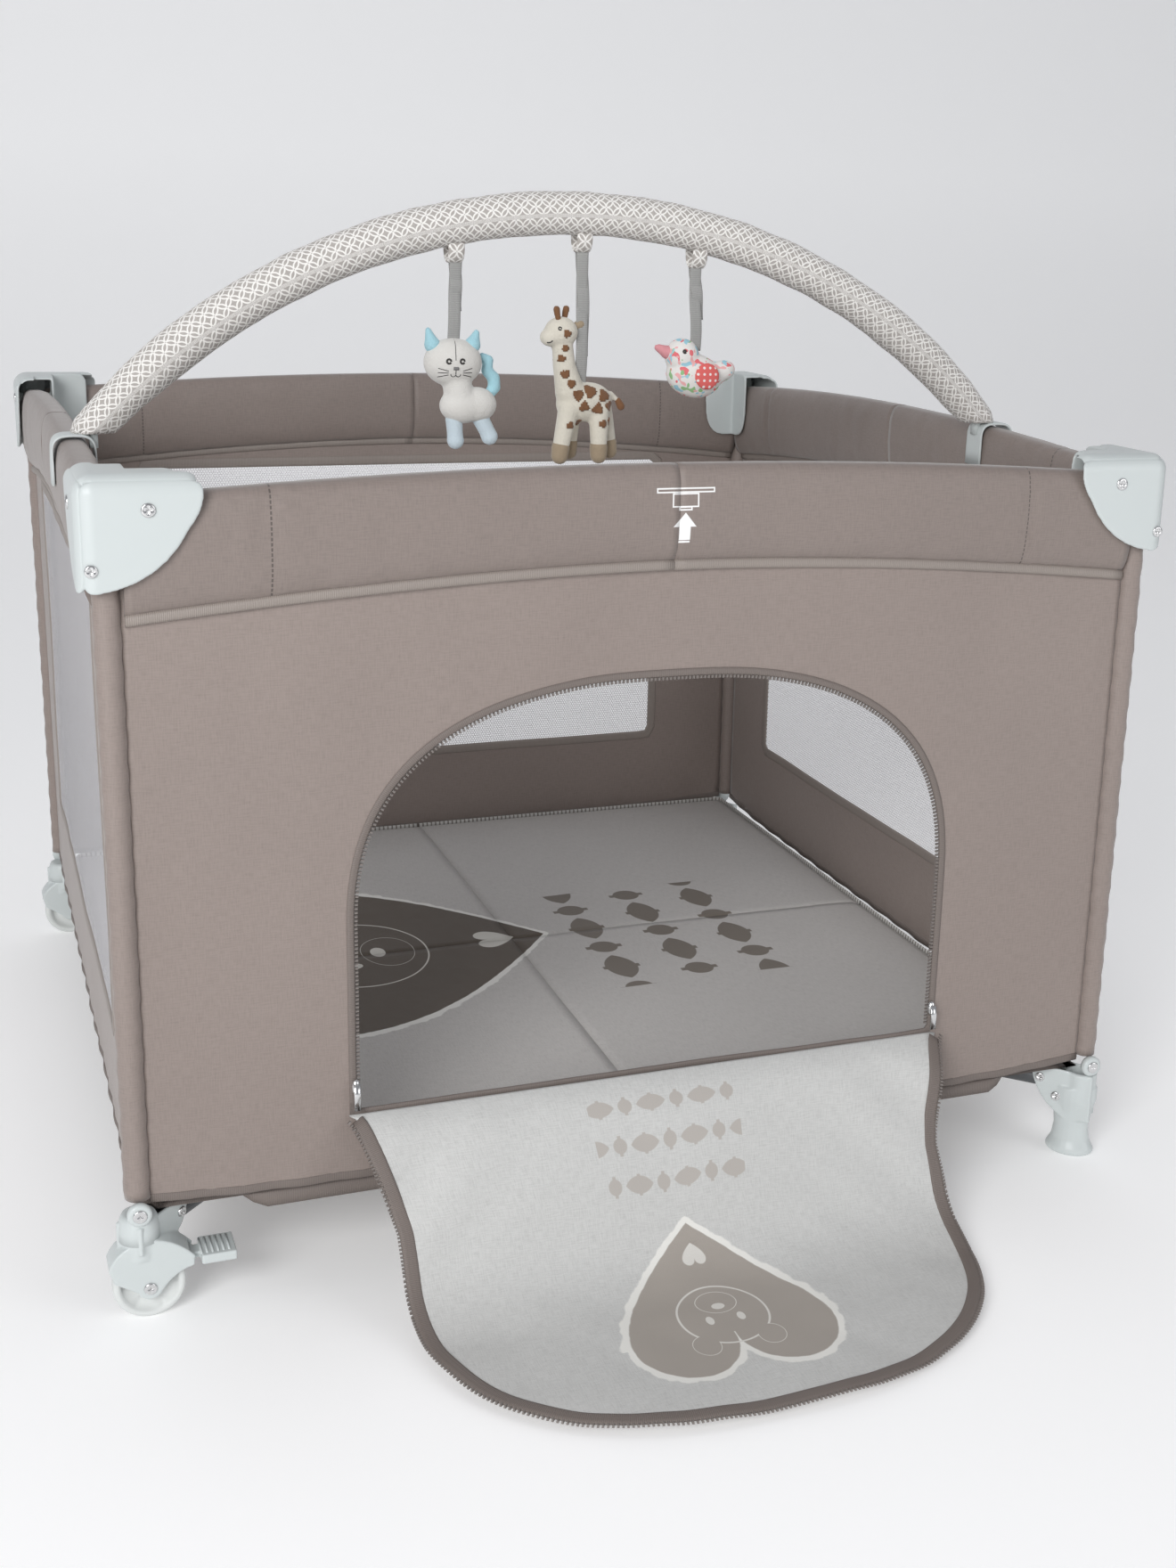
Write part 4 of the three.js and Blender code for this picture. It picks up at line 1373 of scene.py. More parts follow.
    def row(self, name: str, line: Sequence[Vector], face: Callable[[int], Vector]) -> bpy.types.Object:
        """Row of zip teeth along a line.

        Args:
            name: name of the piece.
            line: closely spaced places.
            face: outer direction at each.

        Returns:
            The teeth as one piece.
        """
        verts, faces, since = [], [], self.pitch
        for i in range(1, len(line) - 1):
            since += (line[i] - line[i - 1]).length
            if since < self.pitch:
                continue
            since = 0.0
            run, up = (line[i + 1] - line[i - 1]).normalized(), face(i)
            out = run.cross(up).normalized()
            start = len(verts)
            for a, b, c in ((-1, -1, -1), (1, -1, -1), (1, 1, -1), (-1, 1, -1), (-1, -1, 1), (1, -1, 1), (1, 1, 1),
                            (-1, 1, 1)):
                taper = 0.7 if c > 0 else 1.0
                verts.append(line[i] + run * (a * 0.0010 * taper) + out * (b * 0.0019 * taper) + up * (c * 0.0011))
            faces += [[start + k for k in face_] for face_ in ((0, 3, 2, 1), (4, 5, 6, 7), (0, 1, 5, 4), (1, 2, 6, 5),
                                                               (2, 3, 7, 6), (3, 0, 4, 7))]
        thing = new_object(name, verts, faces)
        thing.data.polygons.foreach_set("use_smooth", [False] * len(faces))
        return thing

    def build(self) -> None:
        """Makes the door."""
        self.flap()
        self.bindings()
        self.teeth()


# ---- Floor -------------------------------------------------------------------------------------
@dataclass
class Floor:
    """Folding mat in four quarters over a cloth floor."""

    gap: float = 0.0002
    inset: float = 0.017
    plump: float = 0.0020
    strip: float = 0.013

    def build(self) -> None:
        """Makes the mat's quarters, their edge cords and the floor cloth."""
        for corner, sx, sy in PLACES:
            body = f"leg_{corner}"
            mat = self.quarter(corner, sx, sy)
            dress(turn_and_place(mat), MAT_CLOTH, body, nodes=[f"mat_{corner}"])
            self.fold(mat, sx, sy)
            cord = self.cord(corner, sx, sy)
            dress(turn_and_place(cord), MAT_EDGE, body)
            self.fold(cord, sx, sy)
            panel = self.panel(corner, sx, sy)
            dress(turn_and_place(panel), TAPE, body)
            self.fold(panel, sx, sy)

    def fold(self, thing: bpy.types.Object, sx: int, sy: int) -> None:
        """Gives a floor piece its own copy of its mesh."""
        tuple(LAYOUT.centre)
        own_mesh(thing)

    def quarter(self, corner: str, sx: int, sy: int) -> bpy.types.Object:
        """One quarter of the mat, a little plump, with rounded edges."""
        inner, outer = self.gap, H - self.inset
        low, high = LAYOUT.mat_low, LAYOUT.mat_high - 0.0015
        count = 40
        stops = spread(inner, outer, count)

        def height(x: float, y: float, top: bool) -> float:
            """Height of the mat's top or underside."""
            share_x, share_y = (x - inner) / (outer - inner), (y - inner) / (outer - inner)
            near = min(1 - share_x, 1 - share_y) * (outer - inner)
            roll = 1 - math.exp(-near / 0.007)
            swell = self.plump * min(1.0, near / 0.06)
            crease = 0.0003 * math.exp(-((min(share_x, share_y) / 0.02) ** 2))
            wave = 0.0013 * ripple(x * sx, y * sy, 1.7, 0.15) + 0.0004 * ripple(x * sx, y * sy, 8.8, 0.045)
            if top:
                return high - 0.0045 * (1 - roll) - self.plump + swell - crease + wave * min(1.0, near / 0.03)
            return low + 0.0035 * (1 - roll)

        def point(i: int, j: int) -> Vector:
            """Place of a point of the surface."""
            x, y = stops[i], stops[j % count] if j < count else stops[2 * count - 1 - j]
            return Vector((x * sx, y * sy, height(x, y, j < count)))

        def cloth(i: int, j: int) -> Sequence[float]:
            """Cloth place of a point."""
            p = point(i, j)
            return (p.x, p.y, 1.0)

        return grid(f"mat_{corner}_cover", count, 2 * count, point, cloth, wrap_cols=True, ends=True)

    def cord(self, corner: str, sx: int, sy: int) -> bpy.types.Object:
        """Overlocked edge round the two outer sides of a mat quarter."""
        inner, outer, bend = self.gap + 0.0005, H - self.inset - 0.0005, 0.010
        z = LAYOUT.mat_high - 0.006
        flat = [(outer, y) for y in spread(inner, outer - bend, 60)]
        for k in range(1, 6):
            turn = math.pi / 2 * k / 6
            flat.append((outer - bend + bend * math.cos(turn), outer - bend + bend * math.sin(turn)))
        flat += [(x, outer) for x in spread(outer - bend, inner, 60)]
        path = [Vector((x * sx, y * sy, z)) for x, y in flat]
        return sweep(f"mat_cord_{corner}", path, oval(0.0013, 0.0034, 8, 0.9), lambda i: UP)

    def panel(self, corner: str, sx: int, sy: int) -> bpy.types.Object:
        """Quarter of the cloth floor under the mat, with its hanging strip at the outer edges."""
        count, outer = 44, H - 0.0014
        stops = [*spread(self.gap, outer - 0.003, count - 3), outer - 0.001, outer, outer]

        def point(i: int, j: int) -> Vector:
            """Place of a point of the surface."""
            edge = max(i, j) - (count - 4)
            drop = (0.0, 0.08, 0.4, 1.0)[max(0, edge)] * self.strip
            clear = min(1.0, max(0.0, (H - 0.085 - min(stops[i], stops[j])) / 0.02))
            inset = 0.012 * (1 - clear) if edge > 0 else 0.0
            x, y = (min(stops[k], outer - inset) for k in (i, j))
            return Vector((x * sx, y * sy, LAYOUT.mat_low - 0.0007 - drop * clear))

        def cloth(i: int, j: int) -> Sequence[float]:
            """Cloth place of a point."""
            return (stops[i] * sx, stops[j] * sy, 1.0)

        panel = thicken(grid(f"floor_sheet_{corner}", count, count, point, cloth), 0.0008)
        return panel


# ---- Posts -------------------------------------------------------------------------------------
@dataclass
class Posts:
    """Gathered cloth sleeves on the four posts."""

    low: float = 0.113
    high: float = 0.660

    def build(self) -> None:
        """Makes the sleeves."""
        for quarter, (corner, sx, sy) in enumerate(PLACES):
            rows, cols = 70, 20

            def point(i: int, j: int, sx: int = sx, sy: int = sy, quarter: int = quarter) -> Vector:
                """Place of a point of the surface."""
                z = self.low + (self.high - self.low) * i / (rows - 1)
                turn = 2 * math.pi * j / cols
                r = LAYOUT.post_r + 0.0004 * ripple(turn * 2, z, quarter * 3.3, 0.03)
                r += 0.0005 * math.sin(z * 230 + 2 * math.cos(turn) + quarter)
                return Vector((sx * H + r * math.cos(turn), sy * H + r * math.sin(turn), z))

            def cloth(i: int, j: int) -> Sequence[float]:
                """Cloth place of a point."""
                return (j / cols * 0.08, self.low + (self.high - self.low) * i / (rows - 1), 1.0)

            sleeve = grid(f"post_sleeve_{corner}", rows, cols, point, cloth, wrap_cols=True, ends=True)
            turn_and_place(sleeve)
            dress(sleeve, WALL_CLOTH, POST_BODY[corner], nodes=[f"post_{corner}"])


# ---- Hard parts --------------------------------------------------------------------------------
def bolt(name: str, at: Vector, out: Vector, radius: float, high: float = 0.0022,
         cross: bool = True) -> bpy.types.Object:
    """Pan head screw with a cross recess.

    Args:
        name: name of the piece.
        at: middle of its seat, in design places.
        out: the way it faces.
        radius: radius of the head.
        high: height of the head.
        cross: whether it has a cross recess.

    Returns:
        The object.
    """
    out = out.normalized()
    side = out.orthogonal().normalized() if abs(out.z) > 0.9 else UP.cross(out).normalized()
    other = out.cross(side)
    cols, rings = 32, 9

    def point(i: int, j: int) -> Vector:
        """Place of a point of the surface."""
        turn = 2 * math.pi * (j + 0.5) / cols
        share = (1.0, 1.0, 0.93, 0.80, 0.64, 0.46, 0.30, 0.15, 0.02)[i]
        rise = (0.0, 0.45, 0.80, 0.95, 1.0, 1.0, 1.0, 1.0, 1.0)[i] * high
        arm = abs(math.sin(2 * turn)) ** 0.5
        if cross and i >= 5:
            rise -= high * 0.55 * (1 - arm) + (high * 0.35 if i >= 7 else 0.0)
        return at + side * math.cos(turn) * radius * share + other * math.sin(turn) * radius * share + out * rise

    return grid(name, rings, cols, point, wrap_cols=True, ends=True)


def turned(name: str, at: Vector, out: Vector, profile: Sequence[tuple[float, float]], cols: int = 64,
           shape: Callable[[float, float, float], float] | None = None) -> bpy.types.Object:
    """Turned piece.

    Args:
        name: name of the piece.
        at: middle of its base.
        out: its axis.
        profile: (radius, height) places.
        cols: how many sides.
        shape: changes a height for a turn, a radius and that height.

    Returns:
        The object.
    """
    out = out.normalized()
    side = UP.cross(out).normalized() if abs(out.z) < 0.9 else Vector((1, 0, 0))
    other = out.cross(side)

    def point(i: int, j: int) -> Vector:
        """Place of a point of the surface."""
        turn = 2 * math.pi * j / cols
        r, h = profile[i]
        h = shape(turn, r, h) if shape else h
        return at + (side * math.cos(turn) + other * math.sin(turn)) * r + out * h

    return grid(name, len(profile), cols, point, wrap_cols=True, ends=True)


@dataclass
class Moulding:
    """CAD plastic part given the soft edges of a moulding."""

    node: str
    body: str
    voxel: float = 0.0012
    rounds: int = 5
    corner: float = 0.0
    toward: tuple[int, int] = (0, 0)

    def build(self) -> bpy.types.Object:
        """Makes the part.

        Returns:
            The object.
        """
        part = copy_node(self.node, f"{self.node}_moulding")
        melt(part, self.voxel, self.rounds)
        if self.corner:
            self.round_corner(part)
        weigh = part.modifiers.new("light", "DECIMATE")
        weigh.decimate_type = "DISSOLVE"
        weigh.angle_limit = math.radians(1.2)
        return dress(settle(part), PLASTIC, self.body, nodes=[self.node])

    def round_corner(self, part: bpy.types.Object) -> None:
        """Rounds the box corner at the part's top and outer side."""
        low = Vector([min(v.co[k] for v in part.data.vertices) for k in range(3)])
        high = Vector([max(v.co[k] for v in part.data.vertices) for k in range(3)])
        sx, sy = self.toward
        edge = Vector((high.x if sx > 0 else low.x, high.y if sy > 0 else low.y, high.z))
        r = self.corner
        heart = edge - Vector((sx * r, sy * r, r))
        for vert in part.data.vertices:
            p = vert.co - heart
            q = Vector((max(0.0, p.x * sx), max(0.0, p.y * sy), max(0.0, p.z)))
            inside = sorted(q, reverse=True)
            if inside[1] > 0 and q.length > 1e-9:
                scale = inside[0] / q.length
                moved = q * scale
                vert.co = heart + Vector((moved.x * sx if q.x > 0 else p.x, moved.y * sy if q.y > 0 else p.y,
                                          moved.z if q.z > 0 else p.z))


@dataclass
class Hardware:
    """Plastic and steel parts of the folding frame."""

    cap_out: float = 0.022
    pivot: float = 0.0335
    screw: float = 0.0058
    screw_in: float = 0.011
    screw_drop: float = 0.046
    clip_half: float = 0.0155
    clip_wall: float = 0.0016
    clip_bend: float = 0.018
    clip_reach: float = 0.044
    clip_span: float = 0.0187
    clip_gap: float = 0.0012

    def build(self) -> None:
        """Makes the hard parts."""
        for quarter, (corner, sx, sy) in enumerate(PLACES):
            body = POST_BODY[corner]
            Moulding(f"cap_{corner}", body, 0.0013, 6, 0.016, (sx, sy)).build()
            self.cap_screws(corner, sx, sy, body)
            base = self.base_of(corner)
            Moulding(base, body, 0.0012, 7, 0.0, (sx, sy)).build()
            if sx < 0:
                self.collar("front" if sy < 0 else "back", Vector((sx * H, sy * H, 0)), body)
            self.base_bolts(corner, sx, sy, body)
        for side in ("front", "back"):
            self.wheel(side)
            self.pedal(side)
        Moulding("hub", "hub", 0.0016, 5).build()
        for side, end in (("left", "front"), ("right", "front")):
            self.clip(side, f"rail_{side}_{end}")
        for side in SIDES:
            self.keep(f"lock_{side}", PLASTIC)
            self.keep(f"lock_button_{side}", PLASTIC)
            for end in ENDS[side]:
                self.keep(f"rail_{side}_{end}", STEEL)
        for corner in CORNERS:
            self.keep(f"leg_{corner}", STEEL)

    @staticmethod
    def base_of(corner: str) -> str:
        """Node at the foot of a post."""
        return {"front_left": "wheel_housing_front", "back_left": "wheel_housing_back",
                "front_right": "foot_front", "back_right": "foot_back"}[corner]

    @staticmethod
    def keep(node: str, finish: Finish) -> None:
        """Gives a CAD node its finish."""
        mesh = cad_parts[node].data
        mesh.materials.clear()
        mesh.materials.append(finish.material())

    def clip(self, side: str, body: str) -> None:
        """Makes the collar that hugs a band and carries a bow end.

        Args:
            side: left or right.
            body: what it moves with.
        """
        bow = Bow()
        sx = -1 if side == "left" else 1
        half, top = self.clip_span, bow.stand - self.clip_gap
        middle = top - self.clip_bend
        line = [(-half, top - self.clip_reach), (-half, middle - 0.010)]
        for k in range(17):
            turn = math.pi * (1 - k / 16)
            c, t = math.cos(turn), math.sin(turn)
            line.append((math.copysign(abs(c) ** 0.6, c) * half, middle + abs(t) ** 0.6 * self.clip_bend))
        line += [(half, middle - 0.010), (half, top - self.clip_reach)]
        path = [Vector((sx * H + x, bow.y, z)) for x, z in line]
        heart = Vector((sx * H, bow.y, middle - 0.02))
        section = oval(self.clip_half, self.clip_wall, 16, 0.5)
        collar = sweep("c", path, section, lambda i: (path[i] - heart).normalized())
        at = Vector((sx * math.sqrt(bow.radius ** 2 - (top + 0.005 - bow.low) ** 2), bow.y, 0))
        stem = [at + UP * (top - 0.012), at + UP * top, at + UP * (top + 0.009)]
        tongue = sweep("t", stem, oval(0.0040, 0.0060, 12, 0.5), lambda i: Vector((0, 1, 0)))
        whole = turn_and_place(joined(f"bow_clip_{side}_collar", [collar, tongue]))
        dress(whole, PLASTIC, body, nodes=[f"bow_clip_{side}"])

    def collar(self, side: str, post: Vector, body: str) -> None:
        """Makes the smooth collar where a post enters its wheel housing."""
        top = Vector(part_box(f"wheel_housing_{side}")[1]).z
        profile = [(0.0114, 0.0020), (0.0140, 0.0018), (0.0160, -0.0020), (0.0172, -0.0100), (0.0176, -0.0220)]
        ring = turned(f"wheel_collar_{side}", post + UP * top, UP, profile, 48)
        dress(turn_and_place(ring), PLASTIC, body)

    def cap_screws(self, corner: str, sx: int, sy: int, body: str) -> None:
        """Makes a cap's pivot screws and the lower screw of its front or back face."""
        heads = []
        for along_x in (True, False):
            out = Vector((0, sy, 0)) if along_x else Vector((sx, 0, 0))
            run = Vector((-sx, 0, 0)) if along_x else Vector((0, -sy, 0))
            face = Vector((sx * H, sy * H, 0)) + out * (self.cap_out - 0.0004)
            heads.append(bolt("s", face + run * self.pivot + UP * LAYOUT.rail_z, out, self.screw))
            if along_x:
                low = face - run * self.screw_in + UP * (LAYOUT.rail_z - self.screw_drop)
                heads.append(bolt("s", low, out, self.screw * 0.9))
        dress(turn_and_place(joined(f"cap_screws_{corner}", heads)), CHROME, body)

    def base_bolts(self, corner: str, sx: int, sy: int, body: str) -> None:
        """Makes the bolts that hold a leg and the post in a foot or wheel housing."""
        way, side = Vector((-sx, -sy, 0)).normalized(), Vector((sx, -sy, 0)).normalized()
        if side.y > 0:
            side = -side
        post = Vector((sx * H, sy * H, 0))
        heads = []
        for along, z in ((0.022, LAYOUT.leg_z - 0.012), (0.040, LAYOUT.leg_z + 0.006)):
            for facing in (1, -1):
                heads.append(bolt("b", post + way * along + UP * z + side * facing * 0.0135, side * facing,
                                  0.0050))
        out = Vector((0, sy, 0))
        boss = post + out * 0.0135 + UP * 0.1035
        heads.append(bolt("b", boss + out * 0.0050, out, 0.0060, 0.0015))
        if sx < 0:
            heads.append(bolt("b", post + Vector((0.006, 0, LAYOUT.wheel_r)) + out * 0.0138, out, 0.0056,
                              0.0020))
        dress(turn_and_place(joined(f"base_bolts_{corner}", heads)), CHROME, body)
        profile = [(0.0095, -0.003), (0.0105, 0.0), (0.0105, 0.0030), (0.0092, 0.0048), (0.0070, 0.0050)]
        disc = turned(f"base_boss_{corner}", boss, out, profile, 40)
        dress(turn_and_place(disc), PLASTIC, body)

    def wheel(self, side: str) -> None:
        """Makes a wheel: ribbed disc, tyre and axle cap."""
        low, high = (Vector(corner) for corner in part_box(f"wheel_{side}"))
        at, wide = (low + high) / 2 - LAYOUT.centre, (high.y - low.y) / 2
        r = (high.z - low.z) / 2
        out = Vector((0, -1 if side == "front" else 1, 0))
        profile = [(0.0045, -wide * 0.96), (0.010, -wide * 0.96), (0.0105, -wide * 0.55), (r * 0.72, -wide * 0.50),
                   (r * 0.76, -wide * 0.95), (r * 0.92, -wide), (r * 0.985, -wide * 0.80), (r, -wide * 0.45),
                   (r, wide * 0.45), (r * 0.985, wide * 0.80), (r * 0.92, wide), (r * 0.80, wide * 0.98),
                   (r * 0.77, wide * 0.62), (r * 0.45, wide * 0.50), (0.0112, wide * 0.55), (0.0105, wide * 0.93),
                   (0.0085, wide), (0.0045, wide)]

        def dish(turn: float, radius: float, height: float) -> float:
            """Height of the disc with its shallow spokes."""
            if 0.012 < radius < r * 0.775 and height > 0:
                return height - 0.0012 * (0.5 + 0.5 * math.cos(turn * 6)) ** 4
            return height

        disc = turned(f"wheel_{side}_disc", at, out, profile, 72, dish)
        dress(turn_and_place(disc), WHEEL_PLASTIC, f"wheel_{side}", nodes=[f"wheel_{side}"])

    def pedal(self, side: str) -> None:
        """Makes a brake pedal with a ribbed tread."""
        low, high = (Vector(corner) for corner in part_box(f"brake_pedal_{side}"))
        part = copy_node(f"brake_pedal_{side}", f"brake_pedal_{side}_moulding")
        melt(part, 0.0009, 8)
        dress(part, PLASTIC, f"brake_pedal_{side}", nodes=[f"brake_pedal_{side}"])
        ribs = []
        span = high.x - low.x
        for k in range(6):
            x = low.x + span * (0.34 + 0.105 * k)
            z = self.top_at(part, x, (low.y + high.y) / 2)
            y_low, y_high = low.y + 0.004, high.y - 0.004
            ribs.append(sweep(f"r{k}", [Vector((x, y_low, z)), Vector((x, (y_low + y_high) / 2, z)),
                                        Vector((x, y_high, z))],
                              oval(0.0010, 0.0012, 8), lambda i: UP))
        tread = joined(f"pedal_ribs_{side}", ribs)
        dress(tread, PLASTIC, f"brake_pedal_{side}")

    @staticmethod
    def top_at(part: bpy.types.Object, x: float, y: float) -> float:
        """Height of a part's top at a place."""
        near = [v.co.z for v in part.data.vertices if abs(v.co.x - x) < 0.002 and abs(v.co.y - y) < 0.006]
        return max(near) if near else 0.05


# ---- Toy bow -----------------------------------------------------------------------------------
@dataclass(frozen=True)
class Bow:
    """Padded bow over the playpen, with loops for the toys."""

    y: float = -0.2
    radius: float = 0.623
    low: float = 0.312
    thick: float = 0.0205
    end: float = 0.0150
    foot: float = 0.722
    stand: float = 0.7318

    def centre(self, x: float) -> Vector:
        """Middle of the bow above a place."""
        return Vector((x, self.y, self.low + math.sqrt(self.radius ** 2 - x * x)))

    def build(self) -> None:
        """Makes the bow's cover."""
        reach = math.sqrt(self.radius ** 2 - (self.foot - self.low) ** 2)
        half_turn = math.asin(reach / self.radius)
        rows, cols = 150, 36

        def frame_at(i: int) -> tuple[Vector, Vector]:
            """Middle and directions at a step of the path."""
            turn = -half_turn + 2 * half_turn * i / (rows - 1)
            out = Vector((math.sin(turn), 0, math.cos(turn)))
            return Vector((0, self.y, self.low)) + out * self.radius, out

        def radius_at(i: int) -> float:
            """Radius of the cover at a step."""
            near = min(i, rows - 1 - i) / (rows - 1) * 2 * half_turn * self.radius
            body = self.end + (self.thick - self.end) * min(1.0, near / 0.10) ** 0.7
            return body * min(1.0, 0.72 + 0.28 * min(1.0, near / 0.012))

        def point(i: int, j: int) -> Vector:
            """Place of a point of the surface."""
            at, out = frame_at(i)
            turn = 2 * math.pi * j / cols
            near = min(i, rows - 1 - i) / (rows - 1) * 2 * half_turn * self.radius
            crease = 0.0010 * ripple(i * 0.35, math.cos(turn) * 1.2, 3.3, 1.0)
            bunch = 0.0013 * math.exp(-near / 0.04) * math.cos(turn * 7 + i * 0.15)
            seam = -0.0016 * math.exp(-(((turn - 1.5 * math.pi) / 0.14) ** 2))
            r = radius_at(i) + crease + bunch + seam
            place = at + out * math.sin(turn) * r + Vector((0, -math.cos(turn) * r, 0))
            if place.z < self.stand:
                place += (place - at) * -0.12
                place.z = self.stand
            return place

        def cloth(i: int, j: int) -> Sequence[float]:
            """Cloth place of a point."""
            return (2 * half_turn * self.radius * i / (rows - 1), self.thick * 2 * math.pi * j / cols, 1.0)

        cover = grid("bow_cover", rows, cols, point, cloth, wrap_cols=True, ends=True)
        dress(turn_and_place(cover), BOW_CLOTH, "bow", Squeeze.ALONG_X, ["bow"])


@dataclass
class Hanger:
    """Loop on the bow and strap down to a toy."""

    toy: str
    x: float
    strap_low: float
    bow: Bow = field(default_factory=Bow)
    wide: float = 0.0060
    drop: float = 0.0165
    loop: float = 0.0078

    def build(self) -> float:
        """Makes the loop and the strap.

        Returns:
            Height of the strap's lower end.
        """
        top = self.bow.centre(self.x).z - self.bow.thick
        ring = []
        for k in range(17):
            turn = math.pi * k / 16
            ring.append(Vector((self.x, self.bow.y - 0.0100 * math.cos(turn),
                                top + 0.002 - self.drop * math.sin(turn) ** 0.8)))
        loop = sweep(f"bow_loop_{self.toy}", ring, oval(self.loop, 0.0014, 10, 0.6),
                     lambda i: self.round_up(ring, i))
        dress(turn_and_place(loop), BOW_CLOTH, "bow", Squeeze.ALONG_X)
        start = top - self.drop + 0.004
        body = f"toy_{self.toy}"
        front = self.strap("strap", start, self.strap_low, -0.0011, 0.0)
        back = self.strap("strap_back", start - 0.001, self.strap_low + 0.030, 0.0012, 0.003)
        straps = joined(f"strap_{self.toy}", [front, back])
        dress(turn_and_place(straps), STRAP, body, Squeeze.ALONG_X)
        return start

    def round_up(self, ring: Sequence[Vector], i: int) -> Vector:
        """Outer direction of the loop at a place."""
        heart = Vector((self.x, self.bow.y, ring[0].z - self.drop * 0.35))
        out = ring[i] - heart
        out.x = 0
        return out if out.length > 1e-6 else UP

    def strap(self, name: str, high: float, low: float, step: float, tilt: float) -> bpy.types.Object:
        """One flat layer of the strap."""
        path = []
        for k in range(24):
            t = k / 23
            path.append(Vector((self.x + 0.0012 * math.sin(3 * t + self.x * 40) + tilt * t,
                                self.bow.y + step + 0.0016 * math.sin(2.4 * math.pi * t + step * 900),
                                high + (low - high) * t)))
        return sweep(name, path, oval(self.wide, 0.0007, 10, 0.6), lambda i: Vector((0, -1, 0)))


# ---- Toys --------------------------------------------------------------------------------------
@dataclass
class Toys:
    """Three soft toys: a cat, a spotted long-necked animal and a bird."""

    y: float = -0.2
    voxel: float = 0.0016

    def at(self, x: float, z: float, y: float = 0.0) -> Vector:
        """Place in the toys' plane."""
        return Vector((x, self.y + y, z))

    def soft(self, name: str, parts: Sequence[bpy.types.Object], finish: Finish, toy: str, fill: float = 0.7,
             nodes: Sequence[str] = (), rounds: int = 9) -> bpy.types.Object:
        """Fuses parts into one stuffed piece with a finish."""
        piece = melt(joined(name, parts), self.voxel, rounds)
        dress(turn_and_place(piece), finish, f"toy_{toy}", Squeeze.ALONG_X, nodes)
        return piece

    def thread(self, name: str, toy: str, lines: Sequence[Sequence[tuple[float, float]]],
               on: bpy.types.Object,
               radius: float = 0.0006, finish: Finish = THREAD) -> None:
        """Embroidered lines on the front of a toy."""
        tree = BVHTree.FromPolygons([v.co for v in on.data.vertices], [p.vertices for p in on.data.polygons])
        parts = []
        for k, line in enumerate(lines):
            path = []
            for a, b in zip(line, line[1:]):
                for step in range(6):
                    t = step / 6
                    path.append((a[0] + (b[0] - a[0]) * t, a[1] + (b[1] - a[1]) * t))
            path.append(line[-1])
            spots = []
            for x, z in path:
                start = self.at(x, z, -0.2) + LAYOUT.centre
                hit = tree.ray_cast(start, Vector((0, 1, 0)), 0.4)[0]
                if hit:
                    spots.append(hit - LAYOUT.centre + Vector((0, 0.0001, 0)))
            if len(spots) > 2:
                parts.append(sweep(f"l{k}", spots, oval(radius, radius, 6), lambda i: Vector((0, -1, 0))))
        if parts:
            dress(turn_and_place(joined(name, parts)), finish, f"toy_{toy}", Squeeze.ALONG_X)

    @staticmethod
    def curl(x: float, z: float, r: float, start: float, end: float, count: int = 9,
             flat: float = 1.0) -> list[tuple[float, float]]:
        """Arc of places about a middle, in degrees."""
        turns = [math.radians(start + (end - start) * k / (count - 1)) for k in range(count)]
        return [(x + r * math.cos(t), z + r * flat * math.sin(t)) for t in turns]

    def cat(self) -> None:
        """Makes the cat."""
        at = self.at
        body = self.soft("cat_body", [
            egg("a", at(-0.1225, 0.7945), (0.0290, 0.0185, 0.0232)), egg("b", at(-0.1130, 0.7535), (0.0230, 0.0165, 0.0172)),
            egg("c", at(-0.0990, 0.7545), (0.0200, 0.0155, 0.0168)), limb("d", [at(-0.120, 0.782), at(-0.116, 0.762)],
                                                                         (0.0135, 0.0150)),
        ], WHITE_PLUSH, "cat", nodes=["toy_cat"])
        self.soft("cat_ears", [
            limb("g", [at(-0.1425, 0.8110), at(-0.1465, 0.8245)], (0.0080, 0.0030)),
            limb("h", [at(-0.1030, 0.8110), at(-0.0990, 0.8225)], (0.0080, 0.0032)),
        ], BLUE_FELT, "cat", rounds=4)
        self.soft("cat_tail", [
            limb("k", [at(-0.086, 0.762, 0.006), at(-0.0790, 0.770, 0.008), at(-0.0795, 0.779, 0.008),
                       at(-0.0865, 0.786, 0.008), at(-0.0850, 0.796, 0.008), at(-0.0910, 0.799, 0.008)],
                 (0.0050, 0.0062, 0.0062, 0.0056, 0.0052, 0.0044)),
        ], BLUE_FELT, "cat", rounds=4)
        self.soft("cat_legs", [
            limb("i", [at(-0.1215, 0.741), at(-0.1205, 0.727), at(-0.1200, 0.7200)], (0.0085, 0.0078, 0.0084)),
            limb("j", [at(-0.0950, 0.741), at(-0.0885, 0.729), at(-0.0860, 0.7235)], (0.0085, 0.0078, 0.0084)),
        ], PALE_FELT, "cat", rounds=5)
        face = [self.curl(-0.1305, 0.7965, 0.0021, 0, 330), self.curl(-0.1175, 0.7965, 0.0021, 0, 330)]
        self.thread("cat_eyes", "cat", face, body, 0.0010)
        self.thread("cat_mouth", "cat", [
            self.curl(-0.1262, 0.7845, 0.0024, 180, 350), self.curl(-0.1214, 0.7845, 0.0024, 190, 360),
            [(-0.1238, 0.789), (-0.1238, 0.7845)],
            *[[(-0.1238 + k * 0.007, 0.7875 - j * 0.0018), (-0.1238 + k * 0.0165, 0.7900 - j * 0.0042)]
              for k in (-1, 1) for j in (0, 1, 2)],
        ], body, 0.00045)
        self.thread("cat_nose", "cat", [[(-0.1262, 0.7900), (-0.1214, 0.7900)]], body, 0.0017, GREY_THREAD)
        self.thread("cat_seam", "cat", [[(-0.1225, 0.8165), (-0.1238, 0.805), (-0.1240, 0.7975)]], body,
                    0.0004,
                    THREAD)

